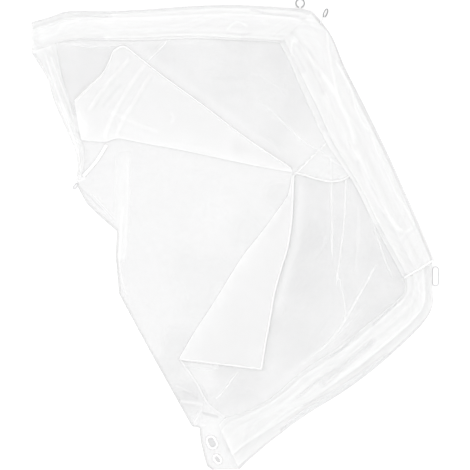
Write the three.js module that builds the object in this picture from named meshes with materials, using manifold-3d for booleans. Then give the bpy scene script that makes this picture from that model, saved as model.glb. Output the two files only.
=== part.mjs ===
// Folding camping mosquito net, laid out flat on the ground with its entrance open.
// A back panel lies underneath. Two door panels lie on it and their free edges are folded
// back. Four walls are gathered into long soft folds along the outside of the panels.
// Sizes are in millimetres, +Z is up and the ground is z = 0.

import * as THREE from "three";
import { mergeVertices } from "three/addons/utils/BufferGeometryUtils.js";
import Module from "manifold-3d";

const wasm = await Module();
wasm.setup();

// Cloth and the way it stacks
const CLOTH = 1.2;
const LAYER_GAP = 0.5;
const FOLD_SPRING = 2.5;
const HEM_WIDTH = 10;
const HEM_RISE = 1.0;
const UNDERLAP = 10;
const BACK_INSET = 8;
const LOWER_LEVEL = CLOTH + LAYER_GAP;
const UPPER_LEVEL = LOWER_LEVEL + CLOTH + LAYER_GAP;
const LOWER_WALL = UPPER_LEVEL;
const UPPER_WALL = UPPER_LEVEL + CLOTH + LAYER_GAP;

// Gathered walls
const FOLD_PITCH = 2.5;
const FOLD_WANDER = 0.02;
const RIPPLES = 2.4;
const RIPPLE_DEPTH = 0.3;
const BEND_SPACING = 0.14;
const WALL_STEPS = 12;

// Doors folded back
const ROLL_HEIGHT = 9;
const ROLL_REACH = 45;
const HEM_LIFT = 6;
const FOLD_NOSE = 2;
const LAPEL_STEPS = 16;
const LAPEL_ACROSS = [0, 0.1, 0.25, 0.45, 0.7, 0.9];

// Flat panels
const PANEL_GRID = 72;
const CURVE_STEPS = 18;

// Rings, loops and tapes
const RING_RADIUS = 18;
const RING_WIRE = 2;
const RING_LEAN = THREE.MathUtils.degToRad(68);
const TAPE = 1;
const TAPE_WIDTH = 14;
const TAPE_SLACK = 0.3;
const TAB_WIDTH = 8;
const TAB_DROOP = THREE.MathUtils.degToRad(1);
const EYE_SLACK = 0.7;
const CORD_RADIUS = 1.5;

// Wall tables, from one corner to the next: the outside rim, the rim beside the panels and
// how far each layer puffs up off the one below
const TOP_WALL = [
  { outerX: -867, outerY: 903, innerX: -864, innerY: 780, puff: 2.5 },
  { outerX: -794, outerY: 924, innerX: -765, innerY: 813, puff: 3.5 },
  { outerX: -701, outerY: 952, innerX: -658, innerY: 828, puff: 4.5 },
  { outerX: -531, outerY: 952, innerX: -510, innerY: 826, puff: 4 },
  { outerX: -361, outerY: 960, innerX: -361, innerY: 826, puff: 5 },
  { outerX: -191, outerY: 972, innerX: -191, innerY: 833, puff: 4.2 },
  { outerX: -21, outerY: 977, innerX: -29, innerY: 828, puff: 5.5 },
  { outerX: 149, outerY: 969, innerX: 115, innerY: 822, puff: 5 },
  { outerX: 277, outerY: 960, innerX: 166, innerY: 818, puff: 4 },
  { outerX: 332, outerY: 947, innerX: 192, innerY: 813, puff: 3 },
];
const RIGHT_WALL = [
  { outerX: 333, outerY: 946, innerX: 193, innerY: 812, puff: 3 },
  { outerX: 374, outerY: 898, innerX: 212, innerY: 775, puff: 4 },
  { outerX: 417, outerY: 838, innerX: 236, innerY: 729, puff: 5 },
  { outerX: 468, outerY: 716, innerX: 277, innerY: 631, puff: 6 },
  { outerX: 532, outerY: 588, innerX: 328, innerY: 520, puff: 5 },
  { outerX: 595, outerY: 456, innerX: 383, innerY: 401, puff: 6.5 },
  { outerX: 659, outerY: 316, innerX: 447, innerY: 303, puff: 6 },
  { outerX: 723, outerY: 167, innerX: 515, innerY: 201, puff: 5 },
  { outerX: 787, outerY: 23, innerX: 595, innerY: 40, puff: 5.5 },
  { outerX: 842, outerY: -108, innerX: 717, innerY: -184, puff: 3.5 },
];
const BOTTOM_WALL = [
  { outerX: 842.2, outerY: -108.4, innerX: 717.2, innerY: -184.4, puff: 3.5 },
  { outerX: 845, outerY: -211, innerX: 723, innerY: -234, puff: 4 },
  { outerX: 834, outerY: -304, innerX: 702, innerY: -268, puff: 5 },
  { outerX: 800, outerY: -388, innerX: 646, innerY: -317, puff: 5.5 },
  { outerX: 697, outerY: -491, innerX: 540, innerY: -402, puff: 4.5 },
  { outerX: 584, outerY: -588, innerX: 425, innerY: -491, puff: 5.5 },
  { outerX: 470, outerY: -671, innerX: 289, innerY: -581, puff: 5 },
  { outerX: 317, outerY: -766, innerX: 149, innerY: -700, puff: 4.5 },
  { outerX: 172, outerY: -870, innerX: 34, innerY: -759, puff: 5 },
  { outerX: 63, outerY: -963, innerX: -38, innerY: -783, puff: 4 },
  { outerX: 22, outerY: -1004, innerX: -68, innerY: -812, puff: 2.5 },
];
const LEFT_WALL = [
  { outerX: -867, outerY: 771, innerX: -762, innerY: 806, puff: 2.5 },
  { outerX: -833, outerY: 716, innerX: -748, innerY: 733, puff: 3 },
  { outerX: -799, outerY: 660, innerX: -731, innerY: 656, puff: 3.5 },
  { outerX: -773, outerY: 571, innerX: -705, innerY: 571, puff: 3 },
  { outerX: -739, outerY: 490, innerX: -684, innerY: 490, puff: 3.5 },
  { outerX: -709, outerY: 422, innerX: -663, innerY: 418, puff: 3 },
  { outerX: -682, outerY: 359, innerX: -641, innerY: 363, puff: 2.5 },
  { outerX: -671, outerY: 291, innerX: -641, innerY: 299, puff: 2 },
  { outerX: -677, outerY: 231, innerX: -654, innerY: 235, puff: 1.5 },
];

// Where each layer of a wall turns back, as a share of the way from outside rim to panel rim
const WALL_TURNS = {
  top: [0.04, 1, 0.14, 0.93, 0.3, 0.82],
  right: [0.03, 1, 0.2, 0.88, 0.08, 0.62],
  bottom: [0.05, 1, 0.1, 0.9, 0.34, 0.74],
  left: [0.05, 1, 0.12, 0.86],
};

// Free left edge of the back panel, from the left corner down to the bottom corner
const LEFT_EDGE = [
  { x: -667, y: 201 },
  { x: -631, y: 133 },
  { x: -562, y: 66 },
  { x: -501, y: 14 },
  { x: -507, y: -88 },
  { x: -492, y: -253 },
  { x: -361, y: -496 },
  { x: -233, y: -725 },
  { x: -182, y: -816 },
  { x: -150, y: -822 },
  { x: -146, y: -872 },
  { x: -131, y: -940 },
  { x: -118, y: -985 },
  { x: -94, y: -1002 },
];

// Upper door: the line it is folded along and its free hem, from left to right
const UPPER_LAPEL = [
  { foldX: -640, foldY: 400, hemX: -666, hemY: 567 },
  { foldX: -607, foldY: 397, hemX: -616, hemY: 631 },
  { foldX: -548, foldY: 395, hemX: -561, hemY: 686 },
  { foldX: -505, foldY: 408, hemX: -531, hemY: 741 },
  { foldX: -463, foldY: 404, hemX: -514, hemY: 782 },
  { foldX: -412, foldY: 393, hemX: -471, hemY: 799 },
  { foldX: -352, foldY: 382, hemX: -416, hemY: 762 },
  { foldX: -233, foldY: 360, hemX: -301, hemY: 671 },
  { foldX: -85, foldY: 329, hemX: -133, hemY: 549 },
  { foldX: 64, foldY: 297, hemX: 54, hemY: 407 },
  { foldX: 243, foldY: 265, hemX: 239, hemY: 284 },
];
const UPPER_SCALLOP = [
  { x: 490, y: 246 },
  { x: 455, y: 227 },
  { x: 404, y: 221 },
  { x: 349, y: 231 },
  { x: 298, y: 247 },
  { x: 251, y: 257 },
];

// Lower door: the line it is folded along and its free hem, from the entrance point down
const LOWER_LAPEL = [
  { foldX: 241, foldY: 231, hemX: 253, hemY: 231 },
  { foldX: 226, foldY: 167, hemX: 249, hemY: 155 },
  { foldX: 180, foldY: 97, hemX: 243, hemY: 53 },
  { foldX: 109, foldY: 1, hemX: 226, hemY: -58 },
  { foldX: 36, foldY: -91, hemX: 200, hemY: -143 },
  { foldX: -29, foldY: -194, hemX: 171, hemY: -248 },
  { foldX: -97, foldY: -304, hemX: 153, hemY: -355 },
  { foldX: -169, foldY: -413, hemX: 132, hemY: -470 },
  { foldX: -238, foldY: -532, hemX: 115, hemY: -576 },
];
const LOWER_TOP_HEM = [
  { x: 245, y: 250 },
  { x: 319, y: 325 },
  { x: 390, y: 394 },
];
const LOWER_BOTTOM_HEM = [
  { x: -42, y: -780 },
  { x: -117, y: -720 },
  { x: -170, y: -627 },
];

// Mounds of slack in the laid cloth
const SLACK = [
  { x: -60, y: 650, reach: 150, height: 5 },
  { x: -560, y: 640, reach: 110, height: 4 },
  { x: -250, y: 60, reach: 230, height: 7 },
  { x: -330, y: -330, reach: 130, height: 5 },
  { x: 340, y: -60, reach: 110, height: 5 },
  { x: 250, y: -420, reach: 110, height: 6 },
  { x: 560, y: -150, reach: 85, height: 4 },
];

// Pinched folds: both ends, sideways bow, width and height
const BACK_TUCKS = [
  { x1: -472, y1: 350, x2: -471, y2: -117, bow: 8, width: 14, height: 7 },
  { x1: -446, y1: 316, x2: -448, y2: -24, bow: 6, width: 12, height: 5 },
];
const LOWER_TUCKS = [
  { x1: 406, y1: 201, x2: 413, y2: -100, bow: 5, width: 14, height: 7 },
  { x1: 462, y1: 201, x2: 442, y2: -194, bow: -6, width: 14, height: 7 },
  { x1: 489, y1: 190, x2: 498, y2: 10, bow: 4, width: 12, height: 5 },
  { x1: 574, y1: -117, x2: 430, y2: -440, bow: -24, width: 16, height: 7 },
  { x1: 383, y1: 40, x2: 332, y2: -134, bow: 8, width: 12, height: 5 },
  { x1: 591, y1: 0, x2: 680, y2: -200, bow: 10, width: 12, height: 5 },
];
const UPPER_TUCKS = [
  { x1: -305, y1: 800, x2: -514, y2: 529, bow: 10, width: 14, height: 3 },
  { x1: -429, y1: 740, x2: -606, y2: 520, bow: 6, width: 14, height: 3 },
  { x1: 17, y1: 584, x2: 420, y2: 300, bow: 8, width: 12, height: 4 },
  { x1: 13, y1: 677, x2: 209, y2: 600, bow: 14, width: 12, height: 4 },
];

// Small fittings
const FLAT_RING = { x: 277, y: 982, z: 3.65, tabLeg: 18 };
const LEANING_RING = { x: 384, y: 938, heading: THREE.MathUtils.degToRad(63.5), tabLeg: 28.8 };
const STAY_TAPE = { x1: -545, y1: 380, x2: -646, y2: 246, bow: -6 };
const CORD_LOOPS = [
  { name: "loop_right", x: 852.2, y: -178, length: 84, width: 28.8, turn: 90, z: 1.6 },
  { name: "loop_left", x: -677, y: 205, length: 30, width: 14, turn: 52, z: 3.2 },
];
const TAPE_LOOPS = [
  { name: "loop_bottom_upper", x: -98, y: -884, length: 62, width: 46, turn: -62 },
  { name: "loop_bottom_lower", x: -74, y: -955, length: 48, width: 34, turn: -50 },
];
const TAPE_LOOP_BAND = 10;

const netting = (colour) =>
  new THREE.MeshStandardMaterial({ color: colour, roughness: 0.9, metalness: 0 });
const steel = () => new THREE.MeshStandardMaterial({ color: 0x8d8f92, roughness: 0.35, metalness: 1 });

// Height of the mounds at a corner of the panels' grid
function moundHeight(column, row) {
  let lift = 0;
  for (const mound of SLACK) {
    const away = Math.hypot(column * PANEL_GRID - mound.x, row * PANEL_GRID - mound.y);
    const share = Math.min(away / mound.reach, 1);
    lift += mound.height * (1 - share * share) ** 2;
  }
  return lift;
}

// Slack of the cloth above flat ground at a place in plan, even within a half square of the grid
function slack(x, y) {
  const column = Math.floor(x / PANEL_GRID);
  const row = Math.floor(y / PANEL_GRID);
  const right = x / PANEL_GRID - column;
  const up = y / PANEL_GRID - row;
  const near = moundHeight(column, row);
  const far = moundHeight(column + 1, row + 1);
  const side = right >= up ? moundHeight(column + 1, row) : moundHeight(column, row + 1);
  const [first, second] = right >= up ? [right, up] : [up, right];
  return near + first * (side - near) + second * (far - side);
}

// Smooth curve in plan through the rows of a table
function curveThrough(rows, keyX = "x", keyY = "y") {
  return new THREE.SplineCurve(rows.map((row) => new THREE.Vector2(row[keyX], row[keyY])));
}

function pointsAlong(curve, steps, from = 0, to = 1) {
  return Array.from({ length: steps + 1 }, (_, i) => curve.getPoint(from + ((to - from) * i) / steps));
}

// Rim of a wall, moved towards its other rim by a distance
function rim(rows, near, far, inset, from = 0, to = 1) {
  const nearCurve = curveThrough(rows, near + "X", near + "Y");
  const farCurve = curveThrough(rows, far + "X", far + "Y");
  const nearPoints = pointsAlong(nearCurve, CURVE_STEPS, from, to);
  const farPoints = pointsAlong(farCurve, CURVE_STEPS, from, to);
  return nearPoints.map((point, i) => {
    const inward = farPoints[i].clone().sub(point).setLength(inset);
    return point.clone().add(inward);
  });
}

// Closed body from points and triangles, turned to face out
function closedSolid(points, triangles) {
  let volume = 0;
  for (const [a, b, c] of triangles) {
    volume += new THREE.Vector3().crossVectors(points[a], points[b]).dot(points[c]);
  }
  const facing = volume < 0 ? triangles.map(([a, b, c]) => [a, c, b]) : triangles;
  const mesh = new wasm.Mesh({
    numProp: 3,
    vertProperties: Float32Array.from(points.flatMap((p) => [p.x, p.y, p.z])),
    triVerts: Uint32Array.from(facing.flat()),
  });
  return new wasm.Manifold(mesh);
}

function solidFromGeometry(geometry) {
  const bare = new THREE.BufferGeometry();
  bare.setAttribute("position", geometry.getAttribute("position"));
  bare.setIndex(geometry.getIndex());
  const merged = mergeVertices(bare, 1e-4);
  const position = merged.getAttribute("position");
  const points = Array.from({ length: position.count }, (_, i) =>
    new THREE.Vector3().fromBufferAttribute(position, i),
  );
  const index = Array.from(merged.getIndex().array);
  const triangles = Array.from({ length: index.length / 3 }, (_, i) => index.slice(3 * i, 3 * i + 3));
  return closedSolid(points, triangles);
}

// Sheet with an underside and an upper side, from rows of places with both heights
function sheetSolid(rows) {
  const across = rows[0].length;
  const places = rows.flat();
  const points = [
    ...places.map((p) => new THREE.Vector3(p.x, p.y, p.low)),
    ...places.map((p) => new THREE.Vector3(p.x, p.y, p.high)),
  ];
  const upper = places.length;
  const triangles = [];
  const quad = (a, b, c, d) => triangles.push([a, b, c], [a, c, d]);
  for (let i = 0; i + 1 < rows.length; i += 1) {
    for (let j = 0; j + 1 < across; j += 1) {
      const a = i * across + j;
      const b = a + across;
      quad(a, a + 1, b + 1, b);
      quad(upper + a, upper + b, upper + b + 1, upper + a + 1);
    }
  }
  const edge = (a, b) => quad(a, b, upper + b, upper + a);
  const last = (rows.length - 1) * across;
  for (let j = 0; j + 1 < across; j += 1) {
    edge(j + 1, j);
    edge(last + j, last + j + 1);
  }
  for (let i = 0; i + 1 < rows.length; i += 1) {
    edge(i * across, (i + 1) * across);
    edge((i + 2) * across - 1, (i + 1) * across - 1);
  }
  return closedSolid(points, triangles);
}

// Flat-laid panel with its slack, cut to an outline in plan
function panel(outline, level) {
  const box = new THREE.Box2().setFromPoints(outline);
  const first = box.min.clone().divideScalar(PANEL_GRID).floor().subScalar(1);
  const last = box.max.clone().divideScalar(PANEL_GRID).ceil().addScalar(1);
  const rows = [];
  for (let i = first.x; i <= last.x; i += 1) {
    const row = [];
    for (let j = first.y; j <= last.y; j += 1) {
      const x = i * PANEL_GRID;
      const y = j * PANEL_GRID;
      const low = level + slack(x, y);
      row.push({ x, y, low, high: low + CLOTH });
    }
    rows.push(row);
  }
  const cutter = new THREE.ExtrudeGeometry(new THREE.Shape(outline), { depth: 60, bevelEnabled: false });
  cutter.translate(0, 0, -20);
  return sheetSolid(rows).intersect(solidFromGeometry(cutter));
}

// Bowed line in plan between two places, with the direction across it
function bowedLine(row, steps) {
  const start = new THREE.Vector2(row.x1, row.y1);
  const end = new THREE.Vector2(row.x2, row.y2);
  const side = new THREE.Vector2(start.y - end.y, end.x - start.x).normalize();
  return Array.from({ length: steps + 1 }, (_, i) => {
    const t = i / steps;
    const place = start.clone().lerp(end, t).addScaledVector(side, row.bow * Math.sin(Math.PI * t));
    return { t, place, side };
  });
}

// Ridge where the cloth of a panel is pinched up
function tuck(row, level) {
  const rows = bowedLine(row, 8).map(({ t, place, side }) =>
    [-0.5, 0, 0.5].map((offset) => {
      const at = place.clone().addScaledVector(side, offset * row.width);
      const top = level + CLOTH + slack(at.x, at.y);
      const crest = offset === 0 ? row.height * Math.sqrt(Math.sin(Math.PI * t)) : 0;
      return { x: at.x, y: at.y, low: top - 0.8, high: top - 0.2 + crest };
    }),
  );
  return sheetSolid(rows);
}

// Door edge folded back over its own panel, with a thicker hem along the free side
function lapel(rows, level) {
  const foldCurve = curveThrough(rows, "foldX", "foldY");
  const hemCurve = curveThrough(rows, "hemX", "hemY");
  const folds = pointsAlong(foldCurve, LAPEL_STEPS);
  const hems = pointsAlong(hemCurve, LAPEL_STEPS);
  const stations = folds.map((fold, i) => {
    const hem = hems[i];
    const width = fold.distanceTo(hem);
    const hemStart = 1 - Math.min(HEM_WIDTH / width, 0.3);
    const uneven = 0.75 + 0.25 * Math.sin(1.7 * i);
    const at = (share, thick) => {
      const place = fold.clone().lerp(hem, share);
      const reach = (share * width) / ROLL_REACH;
      const roll = ROLL_HEIGHT * reach * Math.exp(1 - reach);
      const low =
        level + CLOTH + FOLD_SPRING + slack(place.x, place.y) +
        uneven * (roll + HEM_LIFT * share * share);
      return { x: place.x, y: place.y, low, high: low + CLOTH + thick };
    };
    const flat = LAPEL_ACROSS.map((share) => at(share * hemStart, 0));
    return [...flat, at(hemStart * 0.98, 0), at(hemStart, HEM_RISE), at(1, HEM_RISE)];
  });
  return sheetSolid(stations);
}

// Rounded nose that carries the cloth from a panel up into its folded-back edge
function foldNose(rows, level) {
  const curve = curveThrough(rows, "foldX", "foldY");
  const hemCurve = curveThrough(rows, "hemX", "hemY");
  const height = 2 * CLOTH + FOLD_SPRING;
  const stations = pointsAlong(curve, LAPEL_STEPS).map((place, i) => {
    const inward = hemCurve.getPoint(i / LAPEL_STEPS).sub(place).normalize();
    const at = (offset, from, to) => {
      const point = place.clone().addScaledVector(inward, offset);
      const base = level + slack(place.x, place.y);
      return { x: point.x, y: point.y, low: base + from * height, high: base + to * height };
    };
    return [
      at(-FOLD_NOSE, 0.35, 0.65),
      at(-0.6 * FOLD_NOSE, 0.1, 0.9),
      at(0, 0.02, 0.98),
      at(FOLD_NOSE, 0.02, 0.98),
    ];
  });
  return sheetSolid(stations);
}

function door(outline, lapelRows, tucks, level) {
  let cloth = panel(outline, level).add(lapel(lapelRows, level)).add(foldNose(lapelRows, level));
  for (const row of tucks) cloth = cloth.add(tuck(row, level));
  return cloth;
}

// Both sides of a strip of even thickness along a line in its own plane
function thickLine(line, thickness) {
  const sides = line.map((point, i) => {
    const before = line[Math.max(i - 1, 0)];
    const after = line[Math.min(i + 1, line.length - 1)];
    const along = after.clone().sub(before).normalize();
    const normal = new THREE.Vector2(-along.y, along.x).multiplyScalar(thickness / 2);
    return [point.clone().add(normal), point.clone().sub(normal)];
  });
  return [...sides.map((pair) => pair[0]), ...sides.map((pair) => pair[1]).reverse()];
}

// Places across a wall where each of its layers bends: the turns, and even steps in wide spans
function bendsAcross(turns, place) {
  const order = turns.map((_, k) => k).sort((a, b) => turns[a] - turns[b]);
  return order.flatMap((k, n) => {
    if (n === 0) return [place[k]];
    const before = order[n - 1];
    const steps = Math.max(1, Math.round((turns[k] - turns[before]) / BEND_SPACING));
    return Array.from({ length: steps }, (_, s) =>
      THREE.MathUtils.lerp(place[before], place[k], (s + 1) / steps),
    );
  });
}

// Section of a gathered wall: layers laid back and forth, each turn a soft round
function gatherLine(turns, width, puff, along, level) {
  const layers = turns.length - 1;
  const bulge = (share) => {
    const ripple = Math.cos(2 * Math.PI * (RIPPLES * share + 0.35 * Math.sin(6 * along)));
    return Math.sin(Math.PI * THREE.MathUtils.clamp(share, 0, 1)) * (1 - RIPPLE_DEPTH * (1 - ripple));
  };
  const height = (layer, share) =>
    level + CLOTH / 2 + layer * (FOLD_PITCH + puff * bulge(share));
  const place = turns.map((turn, k) =>
    k === 1 ? turn : turn + FOLD_WANDER * Math.sin(2.1 * k + 5.3 * along * (1 + 0.3 * k)),
  );
  const bends = bendsAcross(turns, place);
  const nearly = 1e-9;
  const line = [];
  for (let layer = 0; layer < layers; layer += 1) {
    const from = place[layer];
    const to = place[layer + 1];
    const [low, high] = [Math.min(from, to) - nearly, Math.max(from, to) + nearly];
    const passed = bends.filter((share) => share >= low && share <= high);
    if (to < from) passed.reverse();
    for (const share of passed) line.push(new THREE.Vector2(share * width, height(layer, share)));
    if (layer + 1 === layers) break;
    const radius = (height(layer + 1, to) - height(layer, to)) / 2;
    const outward = Math.sign(to - from);
    for (const angle of [45, 90, 135]) {
      const turn = THREE.MathUtils.degToRad(angle);
      const reach = to * width + outward * radius * Math.sin(turn);
      line.push(new THREE.Vector2(reach, height(layer, to) + radius * (1 - Math.cos(turn))));
    }
  }
  return line;
}

// Body through a row of like strip sections, closed at both ends from side to side. Faces are
// split the same way in plan on every layer, which keeps twisted layers apart.
function loftSolid(sections, inward) {
  const count = sections[0].length;
  const last = (sections.length - 1) * count;
  const triangles = [];
  for (let i = 0; i + 1 < sections.length; i += 1) {
    for (let j = 0; j < count; j += 1) {
      const a = i * count + j;
      const b = i * count + ((j + 1) % count);
      if (inward[j]) triangles.push([a, b, b + count], [a, b + count, a + count]);
      else triangles.push([a, b, a + count], [b, b + count, a + count]);
    }
  }
  for (let j = 0; j + 1 < count / 2; j += 1) {
    const across = count - 1 - j;
    triangles.push([j, across, j + 1], [j + 1, across, across - 1]);
    triangles.push([last + j, last + j + 1, last + across]);
    triangles.push([last + j + 1, last + across - 1, last + across]);
  }
  return closedSolid(sections.flat(), triangles);
}

function gatheredWall(rows, turns, level) {
  const outer = curveThrough(rows, "outerX", "outerY");
  const inner = curveThrough(rows, "innerX", "innerY");
  const puffs = new THREE.SplineCurve(rows.map((row, i) => new THREE.Vector2(i, row.puff)));
  const sections = [];
  let inward = [];
  for (let i = 0; i <= WALL_STEPS; i += 1) {
    const along = i / WALL_STEPS;
    const start = outer.getPoint(along);
    const across = inner.getPoint(along).sub(start);
    const width = across.length();
    across.normalize();
    const line = gatherLine(turns, width, puffs.getPoint(along).y, along, level);
    const profile = thickLine(line, CLOTH);
    inward = profile.map(({ x }, j) => profile[(j + 1) % profile.length].x > x);
    sections.push(
      profile.map(({ x, y }) => new THREE.Vector3(start.x + across.x * x, start.y + across.y * x, y)),
    );
  }
  return loftSolid(sections, inward);
}

// Flat tape along a bowed line, lying on the back panel
function layTape(row, width, low) {
  const rows = bowedLine(row, 6).map(({ place, side }) =>
    [-0.5, 0.5].map((offset) => {
      const at = place.clone().addScaledVector(side, offset * width);
      return { x: at.x, y: at.y, low, high: low + TAPE };
    }),
  );
  return sheetSolid(rows);
}

// Tape folded round a ring's wire: two legs and an eye, as a section to be given its width
function hairpinShape(legLength) {
  const eye = RING_WIRE + EYE_SLACK + TAPE / 2;
  const legGap = TAPE / 2 + TAPE_SLACK / 2;
  const meet = Math.asin(legGap / eye);
  const line = [new THREE.Vector2(-eye - legLength, -legGap)];
  const arcSteps = 14;
  for (let i = 0; i <= arcSteps; i += 1) {
    const angle = -Math.PI + meet + (2 * (Math.PI - meet) * i) / arcSteps;
    line.push(new THREE.Vector2(eye * Math.cos(angle), eye * Math.sin(angle)));
  }
  line.push(new THREE.Vector2(-eye - legLength, legGap));
  return new THREE.Shape(thickLine(line, TAPE));
}

function ringTab(legLength) {
  const tab = new THREE.ExtrudeGeometry(hairpinShape(legLength), { depth: TAB_WIDTH, bevelEnabled: false });
  tab.translate(0, 0, -TAB_WIDTH / 2);
  return tab;
}

// Outline with straight sides and round ends, lying along x
function stadium(length, width, band) {
  const outline = (half, radius, path) => {
    path.absarc(half, 0, radius, -Math.PI / 2, Math.PI / 2);
    path.absarc(-half, 0, radius, Math.PI / 2, (3 * Math.PI) / 2);
    path.closePath();
    return path;
  };
  const half = (length - width) / 2;
  const shape = outline(half, width / 2, new THREE.Shape());
  shape.holes.push(outline(half, width / 2 - band, new THREE.Path()));
  return shape;
}

// Closed loop of round cord
function cordLoop(length, width) {
  const radius = width / 2 - CORD_RADIUS;
  const half = length / 2 - CORD_RADIUS - radius;
  const sides = 8;
  const centre = [];
  for (let i = 0; i < 20; i += 1) {
    const angle = ((i % 10) / 9 - 0.5) * Math.PI + (i < 10 ? 0 : Math.PI);
    const out = new THREE.Vector2(Math.cos(angle), Math.sin(angle));
    centre.push({ x: out.x * radius + (i < 10 ? half : -half), y: out.y * radius, out });
  }
  const points = centre.flatMap(({ x, y, out }) =>
    Array.from({ length: sides }, (_, k) => {
      const turn = ((k + 0.5) / sides) * 2 * Math.PI;
      const reach = CORD_RADIUS * Math.cos(turn);
      return new THREE.Vector3(x + out.x * reach, y + out.y * reach, CORD_RADIUS * Math.sin(turn));
    }),
  );
  const triangles = [];
  for (let i = 0; i < centre.length; i += 1) {
    for (let k = 0; k < sides; k += 1) {
      const next = ((i + 1) % centre.length) * sides;
      const a = i * sides + k;
      const b = i * sides + ((k + 1) % sides);
      const c = next + ((k + 1) % sides);
      triangles.push([a, b, c], [a, c, next + k]);
    }
  }
  return closedSolid(points, triangles);
}

function geometryFromSolid(solid) {
  const mesh = solid.getMesh();
  const geometry = new THREE.BufferGeometry();
  const points = new Float32Array((mesh.vertProperties.length / mesh.numProp) * 3);
  for (let i = 0; i < points.length / 3; i += 1) {
    points.set(mesh.vertProperties.subarray(i * mesh.numProp, i * mesh.numProp + 3), 3 * i);
  }
  geometry.setAttribute("position", new THREE.BufferAttribute(points, 3));
  geometry.setIndex(new THREE.BufferAttribute(Uint32Array.from(mesh.triVerts), 1));
  return geometry;
}

const net = new THREE.Group();

function add(name, geometry, material) {
  const mesh = new THREE.Mesh(geometry, material);
  mesh.name = name;
  net.add(mesh);
  return mesh;
}

const addSolid = (name, solid, material) => add(name, geometryFromSolid(solid), material);

// Panels
const backOutline = [
  ...rim(TOP_WALL, "outer", "inner", BACK_INSET),
  ...rim(RIGHT_WALL, "outer", "inner", BACK_INSET, 0.02, 1),
  ...rim(BOTTOM_WALL, "outer", "inner", BACK_INSET, 0.02, 1),
  ...LEFT_EDGE.map(({ x, y }) => new THREE.Vector2(x, y)).reverse(),
  ...rim(LEFT_WALL, "outer", "inner", BACK_INSET, 1, 0),
];
let back = panel(backOutline, 0);
for (const row of BACK_TUCKS) back = back.add(tuck(row, 0));
addSolid("back_panel", back, netting(0xdfe0e1));

const lowerOutline = [
  ...pointsAlong(curveThrough(LOWER_TOP_HEM), 6),
  ...rim(RIGHT_WALL, "inner", "outer", UNDERLAP, 0.56, 1),
  ...rim(BOTTOM_WALL, "inner", "outer", UNDERLAP, 0.03, 0.9),
  ...pointsAlong(curveThrough([...LOWER_BOTTOM_HEM, { x: -238, y: -532 }]), 6).slice(0, -1),
  ...pointsAlong(curveThrough(LOWER_LAPEL, "foldX", "foldY"), LAPEL_STEPS, 1, 0),
];
addSolid("lower_door", door(lowerOutline, LOWER_LAPEL, LOWER_TUCKS, LOWER_LEVEL), netting(0xebecec));

const upperOutline = [
  ...rim(TOP_WALL, "inner", "outer", UNDERLAP, 0.12, 1),
  ...rim(RIGHT_WALL, "inner", "outer", UNDERLAP, 0.02, 0.71),
  ...pointsAlong(curveThrough(UPPER_SCALLOP), 10),
  ...pointsAlong(curveThrough(UPPER_LAPEL, "foldX", "foldY"), LAPEL_STEPS, 1, 0),
  ...rim(LEFT_WALL, "inner", "outer", UNDERLAP, 0.62, 0.02),
];
addSolid("upper_door", door(upperOutline, UPPER_LAPEL, UPPER_TUCKS, UPPER_LEVEL), netting(0xeeefef));

// Walls
addSolid("top_wall", gatheredWall(TOP_WALL, WALL_TURNS.top, UPPER_WALL), netting(0xf3f3f3));
addSolid("right_wall", gatheredWall(RIGHT_WALL, WALL_TURNS.right, UPPER_WALL), netting(0xf3f3f3));
addSolid("bottom_wall", gatheredWall(BOTTOM_WALL, WALL_TURNS.bottom, LOWER_WALL), netting(0xf3f3f3));
addSolid("left_wall", gatheredWall(LEFT_WALL, WALL_TURNS.left, UPPER_WALL), netting(0xf3f3f3));

// Tape that holds the left corner
addSolid("stay_tape", layTape(STAY_TAPE, TAPE_WIDTH, CLOTH + LAYER_GAP), netting(0xfafafa));

// Ring lying flat, its far side down on the ground, and the tab round its near side
const ringGeometry = () => new THREE.TorusGeometry(RING_RADIUS, RING_WIRE, 8, 28);
const nearWire = FLAT_RING.y - RING_RADIUS;
const dip = Math.asin((FLAT_RING.z - RING_WIRE) / (2 * RING_RADIUS));
const flatRing = ringGeometry();
flatRing.translate(0, RING_RADIUS, 0).rotateX(-dip).translate(FLAT_RING.x, nearWire, FLAT_RING.z + 0.1);
add("ring_flat", flatRing, steel());
const flatTab = ringTab(FLAT_RING.tabLeg);
flatTab.rotateX(Math.PI / 2).rotateZ(Math.PI / 2).rotateX(TAB_DROOP);
flatTab.translate(FLAT_RING.x, nearWire, FLAT_RING.z + 0.1);
add("ring_flat_tab", flatTab, netting(0xfafafa));

// Ring that stands on its edge and leans out, and the tab round its side next to the net
const leaningRing = ringGeometry();
leaningRing.rotateX(RING_LEAN).rotateZ(LEANING_RING.heading);
const standing = RING_RADIUS * Math.sin(RING_LEAN) + RING_WIRE + 0.1;
leaningRing.translate(LEANING_RING.x, LEANING_RING.y, standing);
add("ring_leaning", leaningRing, steel());
const leaningTab = ringTab(LEANING_RING.tabLeg);
leaningTab.rotateX(RING_LEAN - Math.PI / 2).translate(-RING_RADIUS, 0, 0).rotateZ(LEANING_RING.heading);
leaningTab.translate(LEANING_RING.x, LEANING_RING.y, standing);
add("ring_leaning_tab", leaningTab, netting(0xfafafa));

// Hanging loops at the other corners
for (const loop of CORD_LOOPS) {
  const mesh = addSolid(loop.name, cordLoop(loop.length, loop.width), netting(0xe2e2e2));
  mesh.rotation.z = THREE.MathUtils.degToRad(loop.turn);
  mesh.position.set(loop.x, loop.y, loop.z);
}
for (const loop of TAPE_LOOPS) {
  const shape = stadium(loop.length, loop.width, TAPE_LOOP_BAND);
  const band = new THREE.ExtrudeGeometry(shape, { depth: TAPE, bevelEnabled: false, curveSegments: 8 });
  const mesh = add(loop.name, band, netting(0xf6f6f6));
  mesh.rotation.z = THREE.MathUtils.degToRad(loop.turn);
  mesh.position.set(loop.x, loop.y, CLOTH + LAYER_GAP);
}

export default net;
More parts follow.
